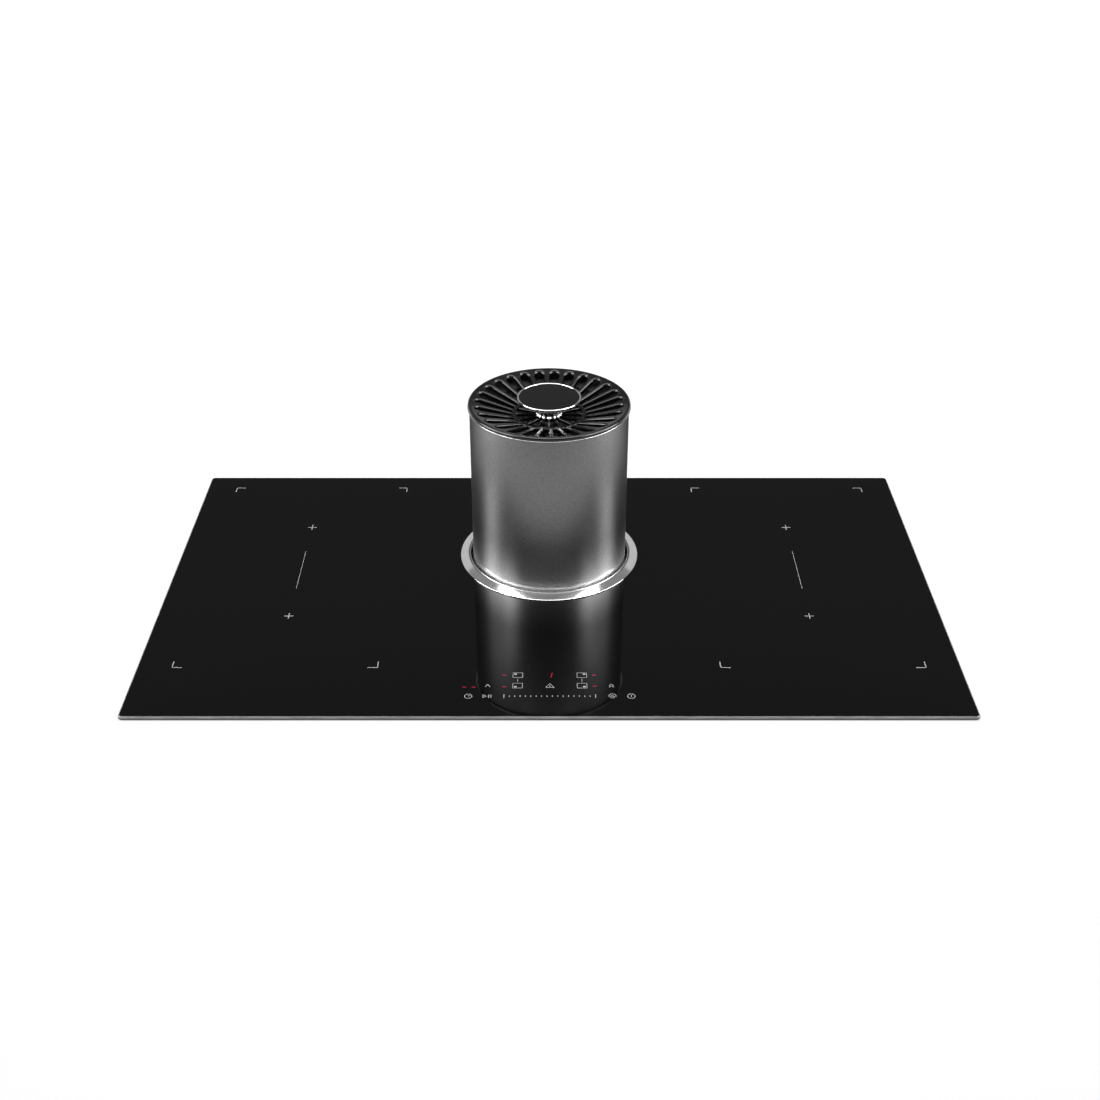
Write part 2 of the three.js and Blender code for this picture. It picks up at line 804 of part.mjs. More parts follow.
function basePlate() {
  const plate = slab([frameLeftX, frameRightX], [frameFrontY, frameRearY], [0, basePlateThickness]);
  const inner = dripTrayWidth / 2 + slideGap;
  const railY = [frameFrontY, frameFrontY + dripTrayLength + railOverrun];
  const railZ = [basePlateThickness - 0.5, basePlateThickness + railHeight];
  const rightRail = slab([inner, inner + railWidth], railY, railZ);
  const leftRail = slab([-inner - railWidth, -inner], railY, railZ);
  const vents = [];
  const ventY = [frameFrontY + plateVentInset, frameFrontY + plateVentInset + plateVentLength];
  for (let i = 0; i < plateVents; i += 1) {
    const x = frameLeftX + plateVentInset + i * plateVentPitch;
    vents.push(slab([x, x + plateVentWidth], ventY, [-1, basePlateThickness + 1]));
  }
  return cut(join(plate, leftRail, rightRail), ...vents);
}

function sidePanel(x) {
  const panel = slab([x, x + panelThickness], [frameFrontY, frameRearY], [basePlateThickness, trayUnderZ]);
  const windows = [];
  for (let row = 0; row < 3; row += 1) {
    for (let column = 0; column < 2; column += 1) {
      const y = frameFrontY + panelVentInset + column * panelVentPitch;
      const z = basePlateThickness + panelVentFirstRise + row * panelVentRise;
      windows.push(slab([x - 1, x + panelThickness + 1], [y, y + panelVentLength], [z, z + panelVentHeight]));
    }
  }
  return cut(panel, ...windows);
}

// An open tray with a finger lip on its front, sliding out towards the front between two rails.
function dripTray() {
  const half = dripTrayWidth / 2;
  const front = towerCentreY - dripTrayLength / 2;
  const back = towerCentreY + dripTrayLength / 2;
  const under = basePlateThickness + fitGap;
  const top = basePlateThickness + dripTrayHeight;
  const body = slab([-half, half], [front, back], [under, top]);
  const lipHalf = fingerLipWidth / 2;
  const lipTop = top - fingerLipThickness;
  const lipZ = [lipTop - fingerLipThickness, lipTop];
  const lip = slab([-lipHalf, lipHalf], [front - fingerLipReach, front + 1], lipZ);
  const hollow = slab(
    [-half + dripTrayWall, half - dripTrayWall],
    [front + dripTrayWall, back - dripTrayWall],
    [under + dripTrayWall, top + 1],
  );
  return join(cut(body, hollow), cut(lip, hollow));
}

addPiece('base_plate', basePlate(), finish(0xa6a8aa, 0.45, 1));
addPiece('side_panel_left', sidePanel(frameLeftX), finish(0xa6a8aa, 0.45, 1));
addPiece('side_panel_right', sidePanel(frameRightX - panelThickness), finish(0xa6a8aa, 0.45, 1));
addPiece('drip_tray', dripTray(), finish(0x303134, 0.5, 0));

// Blower: a scroll housing whose axis lies along X, drawing from the well

// Spiral outline in the plane of the scroll, opening towards +Y along the bottom.
function scrollOutline(inset, outletY) {
  const points = [];
  const steps = 16;
  const sweep = 290;
  for (let i = 0; i <= steps; i += 1) {
    const share = i / steps;
    const angle = (-90 - sweep * (1 - share)) * degrees;
    const radius = scrollMinRadius + (scrollMaxRadius - scrollMinRadius) * share - inset;
    points.push(new THREE.Vector2(radius * Math.cos(angle), radius * Math.sin(angle)));
  }
  const bottom = -scrollMaxRadius + inset;
  const top = scrollOutletHeight - scrollMaxRadius - inset;
  points.push(new THREE.Vector2(outletY, bottom));
  points.push(new THREE.Vector2(outletY, top));
  points.push(new THREE.Vector2(Math.cos(20 * degrees) * (scrollMinRadius + 4) + inset, top));
  return points;
}

// Outlines drawn with y across and z up are extruded along X.
function alongX(shape, x0, x1) {
  const solid = new THREE.ExtrudeGeometry(shape, { depth: x1 - x0, bevelEnabled: false });
  const turn = new THREE.Matrix4().set(0, 0, 1, x0, 1, 0, 0, 0, 0, 1, 0, 0, 0, 0, 0, 1);
  return solid.applyMatrix4(turn);
}

function blowerScroll() {
  const x0 = scrollFirstX;
  const x1 = scrollFirstX + scrollWidth;
  const outletY = outletStartY - towerCentreY;
  const outer = alongX(new THREE.Shape(scrollOutline(0, outletY)), x0, x1);
  const hollow = new THREE.Shape(scrollOutline(scrollWall, outletY + 5));
  const inner = alongX(hollow, x0 + scrollWall, x1 - scrollWall);
  const neck = rodAlongX(inletRadius + inletWall, wellRadius / 2, x0 + 1, turnedFacets);
  const bore = rodAlongX(inletRadius, 0, x0 + scrollWall + 1, turnedFacets);
  const wellSpace = rod(wellOuterRadius + fitGap, -200, 200, roundFacets);
  const shaftHole = rodAlongX(shaftRadius + 4, x1 - scrollWall - 1, x1 + 1);
  const footZ = [-scrollMaxRadius - scrollFootHeight, scrollWall - scrollMaxRadius];
  const feet = scrollFootPlaces.map((y) => (
    slab([x0 + 10, x1 - 10], [y - scrollFootWidth / 2, y + scrollFootWidth / 2], footZ)
  ));
  const shell = cut(join(outer, neck, ...feet), inner, bore, wellSpace, shaftHole);
  return move(shell, 0, towerCentreY, scrollCentreZ);
}

function blowerImpeller() {
  const inner = impellerRadius - impellerBladeDepth;
  const backX = impellerWidth / 2;
  const blade = new THREE.Shape();
  const steps = 2;
  const curve = (offset) => Array.from({ length: steps + 1 }, (_, i) => {
    const radius = inner + 1 + (impellerBladeDepth - 2) * i / steps + 0.001;
    const angle = impellerBladeSweep * (i / steps) ** 2 + offset / radius;
    return new THREE.Vector2(radius * Math.cos(angle), radius * Math.sin(angle));
  });
  blade.setFromPoints([...curve(-bladeThickness / 2), ...curve(bladeThickness / 2).reverse()]);
  const pitch = 2 * Math.PI / impellerBlades;
  const blades = Array.from({ length: impellerBlades }, (_, i) => (
    turnAbout(prism(blade, -backX + 1, backX - 1), i * pitch)
  ));
  const back = revolve([
    [0, backX - impellerHubDepth],
    [impellerHubRadius, backX - impellerHubDepth],
    [impellerRadius, backX - impellerDiscThickness],
    [impellerRadius, backX],
    [0, backX],
  ], turnedFacets);
  const frontRing = ring(impellerRadius, inner, -backX, -backX + impellerDiscThickness, turnedFacets);
  const shaft = rod(shaftRadius, backX - 1, backX + shaftReach, 8);
  const wheel = join(back, frontRing, ...blades, shaft).rotateY(Math.PI / 2);
  return move(wheel, scrollCentreX, towerCentreY, scrollCentreZ);
}

function blowerMotor() {
  const r = blowerMotorRadius;
  const length = blowerMotorLength;
  const bore = shaftRadius + fitGap;
  const profile = [
    [bore, 0],
    [r - motorNeckInset, 0],
    [r - motorNeckInset, motorNeckLength],
    [r, motorNeckLength],
    [r, length - motorEndBevel],
    [r - motorEndBevel, length],
    [bore, length],
  ];
  const body = revolve(profile, turnedFacets).rotateY(Math.PI / 2);
  return move(body, scrollFirstX + scrollWidth, towerCentreY, scrollCentreZ);
}

addPiece('blower_scroll', blowerScroll(), finish(0x2a2b2e, 0.6, 0));
addPiece('blower_impeller', blowerImpeller(), finish(0x1d1e20, 0.55, 0));
addPiece('blower_motor', blowerMotor(), finish(0x9da0a2, 0.4, 1));

// Outlet: a shell that widens from the scroll's mouth to a flat duct socket, with a hanging flap

// Stands a loft drawn across x and z so that it runs back along +Y.
function alongY(geometry) {
  geometry.rotateX(Math.PI / 2).scale(1, -1, 1);
  const order = geometry.index.array;
  for (let i = 0; i < order.length; i += 3) [order[i], order[i + 1]] = [order[i + 1], order[i]];
  return geometry;
}

function outletDuct() {
  const bottom = scrollCentreZ - scrollMaxRadius;
  const throatZ = (bottom + outletTopZ) / 2;
  const reach = outletEndY - outletStartY;
  const rise = (ductHeight - scrollOutletHeight) / 2;
  const shell = (inset, overrun) => {
    const throat = roundedCorners(scrollWidth - 2 * inset, scrollOutletHeight - 2 * inset, ductCorner, 2);
    const mouth = roundedCorners(ductWidth - 2 * inset, ductHeight - 2 * inset, ductCorner, 2)
      .map((point) => new THREE.Vector2(point.x, point.y + rise));
    return alongY(loft([
      { z: -overrun, outline: throat },
      { z: ductThroat, outline: throat },
      { z: reach - ductSocket, outline: mouth },
      { z: reach + overrun, outline: mouth },
    ]));
  };
  const pinZ = scrollOutletHeight / 2 - ductWall - flapPinRadius - flapPinDrop;
  const pinHole = rodAlongX(flapPinRadius + fitGap, -scrollWidth, scrollWidth);
  const body = cut(shell(0, 0), shell(ductWall, 5), move(pinHole, 0, ductThroat / 2, pinZ));
  return move(body, scrollCentreX, outletStartY, throatZ);
}

// The flap hangs from a pin in the outlet's side walls and closes under its own weight.
function outletFlap() {
  const throatZ = scrollCentreZ - scrollMaxRadius + scrollOutletHeight / 2;
  const half = scrollWidth / 2 - ductWall - slideGap;
  const pinZ = scrollOutletHeight / 2 - ductWall - flapPinRadius - flapPinDrop;
  const low = -scrollOutletHeight / 2 + ductWall + flapDropClearance;
  const plate = slab([-half, half], [-flapThickness / 2, flapThickness / 2], [low, pinZ]);
  const pin = rodAlongX(flapPinRadius, -scrollWidth / 2, scrollWidth / 2).translate(0, 0, pinZ);
  return move(join(plate, pin), scrollCentreX, outletStartY + ductThroat / 2, throatZ);
}

addPiece('outlet_duct', outletDuct(), finish(0x2a2b2e, 0.6, 0));
addPiece('outlet_flap', outletFlap(), finish(0x3a3b3e, 0.5, 0));

// Electronics tray: a folded sheet tray with cooling slots and a hole for the well

function housingTray() {
  const outer = prism(roundedShape(trayWidth, trayLength, trayCornerRadius), trayUnderZ, glassUnderZ);
  const inner = prism(
    roundedShape(trayWidth - 2 * trayWall, trayLength - 2 * trayWall, trayCornerRadius - trayWall),
    trayFloorZ, glassUnderZ + 1,
  );
  const hole = rod(wellOuterRadius + fitGap, trayUnderZ - 1, trayFloorZ + 1, roundFacets);
  const wellHole = move(hole, 0, towerCentreY, 0);
  const slots = [];
  const wallY = trayLength / 2;
  const slotZ = [trayUnderZ + airSlotRise, trayUnderZ + airSlotRise + airSlotHeight];
  const fanSlotY = [fanCentreY - fanSlotLength / 2, fanCentreY + fanSlotLength / 2];
  for (const side of [-1, 1]) {
    for (let i = 0; i < airSlotsPerZone; i += 1) {
      const x = side * (zoneCentreX + (i - (airSlotsPerZone - 1) / 2) * airSlotPitch);
      const slotX = [x - airSlotWidth / 2, x + airSlotWidth / 2];
      slots.push(slab(slotX, [wallY - 3, wallY + 1], slotZ));
      slots.push(slab(slotX, [-wallY - 1, 3 - wallY], slotZ));
    }
    for (let i = -1; i <= 1; i += 1) {
      const x = side * fanCentreX + i * fanSlotPitch;
      const slotX = [x - fanSlotWidth / 2, x + fanSlotWidth / 2];
      slots.push(slab(slotX, fanSlotY, [trayUnderZ - 1, trayFloorZ + 1]));
    }
  }
  return cut(outer, inner, wellHole, ...slots);
}

addPiece('housing_tray', housingTray(), finish(0xa9abad, 0.45, 1));

// Cooking zones

// A flat winding, grooved into bands, with an open middle.
function coilWinding(x, y) {
  const shape = frameShape(
    coilWidth, coilDepth, coilCornerRadius,
    coilBoreWidth, coilBoreDepth, coilBoreCorner, 2,
  );
  const body = prism(shape, coilUnderZ, micaUnderZ);
  const grooves = [];
  for (let i = 1; i < coilBands; i += 1) {
    const share = i / coilBands;
    const width = coilWidth + (coilBoreWidth - coilWidth) * share;
    const depth = coilDepth + (coilBoreDepth - coilDepth) * share;
    const radius = coilCornerRadius + (coilBoreCorner - coilCornerRadius) * share;
    const g = bandGrooveWidth;
    const groove = frameShape(width + g, depth + g, radius + g / 2, width - g, depth - g, radius - g / 2, 2);
    grooves.push(prism(groove, micaUnderZ - bandGrooveDepth, micaUnderZ + 1));
  }
  return move(cut(body, ...grooves), x, y, 0);
}

// The plastic carrier has ferrite bars moulded into its underside.
function coilCarrier(x, y) {
  const outline = roundedShape(carrierWidth, carrierDepth, carrierCornerRadius, 2);
  const plate = prism(outline, carrierUnderZ, coilUnderZ);
  const bar = slab(
    [ferriteInset, ferriteInset + ferriteLength],
    [-ferriteWidth / 2, ferriteWidth / 2],
    [shelfTopZ, carrierUnderZ + 1],
  );
  const pitch = 2 * Math.PI / ferriteBars;
  const bars = Array.from({ length: ferriteBars }, (_, i) => turnAbout(bar, i * pitch));
  const hole = rod(sensorRadius + fitGap, shelfTopZ - 1, coilUnderZ + 1, 12);
  return move(cut(join(plate, ...bars), hole), x, y, 0);
}

function panSensor(x, y) {
  const profile = [
    [0, shelfTopZ],
    [sensorRadius, shelfTopZ],
    [sensorRadius, coilUnderZ + fitGap],
    [sensorRadius + sensorFlangeWidth, coilUnderZ + fitGap],
    [sensorRadius + sensorFlangeWidth, coilUnderZ + fitGap + sensorFlangeThickness],
    [sensorRadius - 2, micaUnderZ],
    [0, micaUnderZ],
  ];
  return move(revolve(profile, 8), x, y, 0);
}

function micaSheet(x) {
  const outline = roundedShape(carrierWidth, coilSpacing + carrierDepth, micaCornerRadius, 1);
  return move(prism(outline, micaUnderZ, glassUnderZ), x, zoneCentreY, 0);
}

function coilShelf(x) {
  const plateZ = [shelfTopZ - shelfThickness, shelfTopZ];
  const plate = slab([-shelfWidth / 2, shelfWidth / 2], [-shelfLength / 2, shelfLength / 2], plateZ);
  const legs = [];
  for (const sx of [-1, 1]) {
    for (const sy of [-1, 1]) {
      const cx = sx * (shelfWidth - shelfLeg) / 2;
      const cy = sy * (shelfLength - shelfLeg) / 2;
      const half = shelfLeg / 2;
      legs.push(slab([cx - half, cx + half], [cy - half, cy + half], [trayFloorZ, shelfTopZ - 0.5]));
    }
  }
  return move(join(plate, ...legs), x, zoneCentreY, 0);
}

const zones = [['left', -zoneCentreX], ['right', zoneCentreX]];
const rows = [['front', zoneCentreY - coilSpacing / 2], ['rear', zoneCentreY + coilSpacing / 2]];

for (const [side, x] of zones) {
  for (const [row, y] of rows) {
    addPiece(`coil_winding_${side}_${row}`, coilWinding(x, y), finish(0xa5662f, 0.5, 1));
    addPiece(`coil_carrier_${side}_${row}`, coilCarrier(x, y), finish(0x3b3c3e, 0.7, 0));
    addPiece(`pan_sensor_${side}_${row}`, panSensor(x, y), finish(0xd8d4c8, 0.6, 0));
  }
  addPiece(`mica_sheet_${side}`, micaSheet(x), finish(0xb9a981, 0.6, 0));
  addPiece(`coil_shelf_${side}`, coilShelf(x), finish(0xb7b9bb, 0.4, 1));
}

// Electronics: power boards with heat sinks, cooling fans, touch board, mains board and terminal box

// Each block is given as shares of the board: place across and back, width, depth and height.
function circuitBoard(width, depth, blocks) {
  const under = trayFloorZ + standoffHeight;
  const plate = slab([-width / 2, width / 2], [-depth / 2, depth / 2], [under, boardTopZ]);
  const standoffs = [];
  for (const sx of [-1, 1]) {
    for (const sy of [-1, 1]) {
      const x = sx * (width / 2 - standoffInset);
      const y = sy * (depth / 2 - standoffInset);
      standoffs.push(move(rod(standoffRadius, trayFloorZ, under + 0.5, 8), x, y, 0));
    }
  }
  const parts = blocks.map(([x, y, w, d, h]) => slab(
    [width * (x - w / 2), width * (x + w / 2)],
    [depth * (y - d / 2), depth * (y + d / 2)],
    [boardTopZ - 0.5, boardTopZ + h * tallestPart],
  ));
  return join(plate, ...standoffs, ...parts);
}

function powerBoard(side, x) {
  const blocks = [
    [-0.2, 0.29, 0.21, 0.14, 0.92],
    [0.15, 0.33, 0.17, 0.16, 0.77],
    [0.05, 0.1, 0.13, 0.19, 1],
    [0.35, 0.19, 0.1, 0.29, 0.46],
  ];
  const mirrored = blocks.map(([bx, by, w, d, h]) => [side * bx, by, w, d, h]);
  return move(circuitBoard(powerBoardWidth, powerBoardDepth, mirrored), x, powerBoardCentreY, 0);
}

// A comb of fins drawn across the air flow and extruded along it.
function heatSink(x) {
  const width = (sinkFins - 1) * sinkFinPitch + sinkFinThickness;
  const points = [new THREE.Vector2(-width / 2, 0), new THREE.Vector2(width / 2, 0)];
  for (let i = sinkFins - 1; i >= 0; i -= 1) {
    const left = -width / 2 + i * sinkFinPitch;
    const right = left + sinkFinThickness;
    if (i < sinkFins - 1) points.push(new THREE.Vector2(right, sinkBase));
    points.push(new THREE.Vector2(right, sinkHeight));
    points.push(new THREE.Vector2(left, sinkHeight));
    if (i > 0) points.push(new THREE.Vector2(left, sinkBase));
  }
  const comb = alongX(new THREE.Shape(points), -sinkLength / 2, sinkLength / 2);
  return move(comb, x, fanCentreY, boardTopZ);
}

function fanHousing(side) {
  const half = fanSize / 2;
  const top = trayFloorZ + fanHeight;
  const mouthHalf = half - fanCornerRadius;
  const body = prism(roundedShape(fanSize, fanSize, fanCornerRadius, 2), trayFloorZ, top);
  const chamber = rod(fanRotorRadius + fanChamberGap, trayFloorZ + fanWall, top - fanWall, turnedFacets);
  const intake = rod(fanRotorRadius - fanIntakeLip, top - fanWall - 1, top + 1, 16);
  const mouth = slab([0, half + 1], [-mouthHalf, mouthHalf], [trayFloorZ + fanWall, top - fanWall]);
  const outlet = side > 0 ? mouth : mouth.rotateZ(Math.PI);
  const pin = rod(fanPinRadius, trayFloorZ + 1, top - 8);
  const shell = join(cut(body, chamber, intake, outlet), pin);
  return move(shell, side * fanCentreX, fanCentreY, 0);
}

function fanRotor(side) {
  const low = trayFloorZ + fanWall + fitGap;
  const high = trayFloorZ + fanHeight - fanWall - 2;
  const hub = ring(fanHubRadius, fanPinRadius + fitGap, low, high, smallFacets);
  const bladeHalf = fanBladeThickness / 2;
  const blade = slab([fanHubRadius - 1, fanRotorRadius], [-bladeHalf, bladeHalf], [low + 0.5, high - 2]);
  const pitch = 2 * Math.PI / fanBlades;
  const blades = Array.from({ length: fanBlades }, (_, i) => turnAbout(blade, i * pitch));
  return move(join(hub, ...blades), side * fanCentreX, fanCentreY, 0);
}

function touchBoard() {
  const width = touchBoardWidth / 2;
  const depth = touchBoardDepth / 2;
  const boardZ = [glassUnderZ - boardThickness, glassUnderZ];
  return slab([-width, width], [touchCentreY - depth, touchCentreY + depth], boardZ);
}

function touchHolder() {
  const margin = touchHolderWall + touchHolderMargin;
  const width = touchBoardWidth + 2 * margin;
  const depth = touchBoardDepth + 2 * margin;
  const under = glassUnderZ - touchHolderHeight;
  const body = prism(roundedShape(width, depth, touchHolderCorner, 1), under, glassUnderZ);
  const hollow = slab(
    [touchHolderWall - width / 2, width / 2 - touchHolderWall],
    [touchHolderWall - depth / 2, depth / 2 - touchHolderWall],
    [under + touchHolderWall, glassUnderZ + 1],
  );
  const posts = [];
  for (const sx of [-1, 1]) {
    for (const sy of [-1, 1]) {
      const post = rod(touchPostRadius, under + 1, glassUnderZ - boardThickness, 8);
      const x = sx * (touchBoardWidth / 2 - touchPostInset);
      const y = sy * (touchBoardDepth / 2 - touchPostInset);
      posts.push(move(post, x, y, 0));
    }
  }
  return move(join(cut(body, hollow), ...posts), 0, touchCentreY, 0);
}

function mainsBoard() {
  const blocks = [[-0.28, 0.15, 0.25, 0.4, 0.85], [0.06, 0.2, 0.19, 0.26, 1], [0.31, -0.15, 0.16, 0.4, 0.62]];
  const y = zoneCentreY + coilSpacing / 2 + mainsBoardOffset;
  return move(circuitBoard(mainsBoardWidth, mainsBoardDepth, blocks), zoneCentreX, y, 0);
}

function terminalBox() {
  const rearY = trayLength / 2 - terminalRearGap;
  const underZ = trayUnderZ - terminalHeight;
  const halfWidth = terminalWidth / 2;
  const lidX = halfWidth - terminalLidInset;
  const lidY = terminalDepth / 2 - terminalLidInset;
  const body = prism(roundedShape(terminalWidth, terminalDepth, terminalCorner, 2), underZ, trayUnderZ);
  const lid = slab([-lidX, lidX], [-lidY, lidY], [underZ - terminalLidThickness, underZ + 1]);
  const hole = rodAlongX(glandRadius - glandWall, -halfWidth - 1, -halfWidth + 12)
    .translate(0, 0, trayUnderZ - terminalHeight / 2);
  return move(cut(join(body, lid), hole), terminalCentreX, rearY - terminalDepth / 2, 0);
}

// A gland nut with an open bore for the mains lead.
function cableGland() {
  const r = glandRadius;
  const bore = r - glandWall;
  const profile = [[bore, 0], [r, 0], [r, 7], [r - 2, 9], [r - 2, 16], [bore + 1, 19], [bore, 19]];
  const nut = revolve(profile, smallFacets).rotateY(-Math.PI / 2);
  const y = trayLength / 2 - terminalRearGap - terminalDepth / 2;
  return move(nut, terminalCentreX - terminalWidth / 2, y, trayUnderZ - terminalHeight / 2);
}

// A bent leaf that presses against the side of the worktop cut-out.
function worktopClip(side, y) {
  const x = trayWidth / 2;
  const elbowX = x + trayMargin - clipTouchGap;
  const t = clipThickness;
  const outline = [
    [x, -clipTopDrop],
    [x, -clipKneeDrop],
    [elbowX - t, -clipElbowDrop],
    [x + 2, -clipEndDrop],
    [x + 2 + t, -clipEndDrop - t / 2],
    [elbowX, -clipElbowDrop],
    [x + t, t / 2 - clipKneeDrop],
    [x + t, -clipTopDrop],
  ].map(([px, pz]) => new THREE.Vector2(px, pz));
  const leaf = new THREE.ExtrudeGeometry(new THREE.Shape(outline), { depth: clipWidth, bevelEnabled: false });
  leaf.rotateX(Math.PI / 2).translate(0, clipWidth / 2, glassUnderZ);
  if (side < 0) leaf.rotateZ(Math.PI);
  return move(leaf, 0, y, 0);
}

for (const [side, x] of zones) {
  const sign = Math.sign(x);
  addPiece(`power_board_${side}`, powerBoard(sign, x), finish(0x1f4a34, 0.6, 0));
  addPiece(`heat_sink_${side}`, heatSink(x - sign * sinkOffset), finish(0xb9bbbd, 0.4, 1));
  addPiece(`fan_housing_${side}`, fanHousing(sign), finish(0x232427, 0.6, 0));
  addPiece(`fan_rotor_${side}`, fanRotor(sign), finish(0x17181a, 0.5, 0));
}

addPiece('touch_board', touchBoard(), finish(0x1f4a34, 0.6, 0));
addPiece('touch_holder', touchHolder(), finish(0x2b2c2f, 0.6, 0));
addPiece('mains_board', mainsBoard(), finish(0x1f4a34, 0.6, 0));
addPiece('terminal_box', terminalBox(), finish(0x2d2e31, 0.6, 0));
addPiece('cable_gland', cableGland(), finish(0x36373a, 0.55, 0));

for (const [side, sign] of [['left', -1], ['right', 1]]) {
  addPiece(`worktop_clip_${side}_front`, worktopClip(sign, -clipCentreY), finish(0xaeb0b2, 0.35, 1));
  addPiece(`worktop_clip_${side}_rear`, worktopClip(sign, clipCentreY), finish(0xaeb0b2, 0.35, 1));
}

export default cooktop;
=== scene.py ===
# Electric induction cooktop with an extractor tower: looks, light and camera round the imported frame.
import json
import math

import bmesh
import bpy
from mathutils import Matrix, Vector


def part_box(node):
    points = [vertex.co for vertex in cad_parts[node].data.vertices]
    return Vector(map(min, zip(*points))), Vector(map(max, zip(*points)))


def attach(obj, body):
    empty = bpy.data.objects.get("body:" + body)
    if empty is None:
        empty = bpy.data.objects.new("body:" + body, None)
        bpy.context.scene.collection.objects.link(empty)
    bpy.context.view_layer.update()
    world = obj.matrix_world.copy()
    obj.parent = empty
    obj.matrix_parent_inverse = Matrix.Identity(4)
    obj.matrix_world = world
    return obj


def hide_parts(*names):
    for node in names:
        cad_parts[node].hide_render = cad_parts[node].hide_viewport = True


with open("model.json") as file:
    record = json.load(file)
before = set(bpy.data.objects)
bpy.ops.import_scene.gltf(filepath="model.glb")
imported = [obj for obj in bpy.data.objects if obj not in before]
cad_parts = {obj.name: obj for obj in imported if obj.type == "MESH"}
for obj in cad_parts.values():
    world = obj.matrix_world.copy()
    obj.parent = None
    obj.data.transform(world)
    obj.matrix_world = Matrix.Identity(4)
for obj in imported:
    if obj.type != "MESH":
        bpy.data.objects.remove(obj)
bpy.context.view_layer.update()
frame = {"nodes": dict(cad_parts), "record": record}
mm = 0.001

# Places that several pieces share, taken from the frame
glassLow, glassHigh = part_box("glass_plate")
towerLow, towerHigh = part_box("tower_tube")
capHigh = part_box("top_grille")[1]
collarLow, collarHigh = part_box("collar_ring")
towerAxis = Vector((0, (towerLow.y + towerHigh.y) / 2, 0))


# Camera

cameraSetup = {"place": (0.0, -1.49905, 1.2483), "tilt": 58.59, "lens": 49.04, "sensor": 36, "shiftX": 0.0008,
               "near": 0.05, "far": 60}


def makeCamera():
    data = bpy.data.cameras.new("studioCamera")
    data.lens = cameraSetup["lens"]
    data.sensor_width = cameraSetup["sensor"]
    data.shift_x = cameraSetup["shiftX"]
    data.clip_start = cameraSetup["near"]
    data.clip_end = cameraSetup["far"]
    camera = bpy.data.objects.new("studioCamera", data)
    camera.location = cameraSetup["place"]
    camera.rotation_euler = (math.radians(cameraSetup["tilt"]), 0, 0)
    bpy.context.scene.collection.objects.link(camera)
    bpy.context.scene.camera = camera


makeCamera()
bpy.context.scene.view_settings.view_transform = "Standard"
print("camera placed")


# Shader helpers

def tone(red, green=None, blue=None):  # screen tones from 0 to 255 as a linear colour
    def one(value):
        value /= 255
        return value / 12.92 if value <= 0.04045 else ((value + 0.055) / 1.055) ** 2.4
    green = red if green is None else green
    blue = red if blue is None else blue
    return (one(red), one(green), one(blue), 1.0)


def addNode(tree, kind, inputs=None, **settings):
    node = tree.nodes.new(kind)
    for key, value in settings.items():
        setattr(node, key, value)
    for key, value in (inputs or {}).items():
        if isinstance(value, bpy.types.NodeSocket):
            tree.links.new(value, node.inputs[key])
        else:
            node.inputs[key].default_value = value
    return node


def calculate(tree, operation, a, b=0.0, clamp=False):
    return addNode(tree, "ShaderNodeMath", {0: a, 1: b}, operation=operation, use_clamp=clamp).outputs[0]


def multiply(tree, a, b, clamp=False):
    return calculate(tree, "MULTIPLY", a, b, clamp)


def rescale(tree, value, low, high, fromLow=0.0, fromHigh=1.0):
    inputs = {"Value": value, "From Min": fromLow, "From Max": fromHigh, "To Min": low, "To Max": high}
    return addNode(tree, "ShaderNodeMapRange", inputs).outputs["Result"]


def blendColors(tree, factor, first, second):
    node = addNode(tree, "ShaderNodeMix", {0: factor, 6: first, 7: second}, data_type="RGBA")
    return node.outputs[2]


def objectPlace(tree):
    return addNode(tree, "ShaderNodeTexCoord").outputs["Object"]


def noise(tree, where, scale, detail=2.0):
    return addNode(tree, "ShaderNodeTexNoise", {"Vector": where, "Scale": scale, "Detail": detail}).outputs[0]


def newShaderGroup(name, inputs, outputs):
    tree = bpy.data.node_groups.new(name, "ShaderNodeTree")
    for label, kind, value in inputs:
        tree.interface.new_socket(label, in_out="INPUT", socket_type=kind).default_value = value
    for label in outputs:
        tree.interface.new_socket(label, in_out="OUTPUT", socket_type="NodeSocketFloat")
    return tree, tree.nodes.new("NodeGroupInput"), tree.nodes.new("NodeGroupOutput")


grainLook = {"finer": 2.7, "detail": 3.0, "contrast": (0.3, 0.7)}


def makeGrainGroup():  # fine even grain, as on blasted steel or moulded plastic
    inputs = [("Scale", "NodeSocketFloat", 900.0), ("Stretch", "NodeSocketVector", (1, 1, 1))]
    tree, start, end = newShaderGroup("fineGrain", inputs, ["Height", "Value"])
    scale = start.outputs["Scale"]
    drawn = {"Vector": objectPlace(tree), "Scale": start.outputs["Stretch"]}
    where = addNode(tree, "ShaderNodeMapping", drawn).outputs["Vector"]
    coarse = noise(tree, where, scale, grainLook["detail"])
    fine = noise(tree, where, multiply(tree, scale, grainLook["finer"]))
    both = calculate(tree, "ADD", coarse, fine)
    tree.links.new(multiply(tree, both, 0.5), end.inputs["Height"])
    tree.links.new(rescale(tree, coarse, 0.0, 1.0, *grainLook["contrast"]), end.inputs["Value"])
    return tree


handlingLook = {"detail": 4.0, "wipe": (1.0, 9.0, 9.0), "wipeLean": 0.5, "contrast": (0.35, 1.05),
                "specks": 260.0, "speckEdge": (0.03, 0.07), "speckless": 0.93}


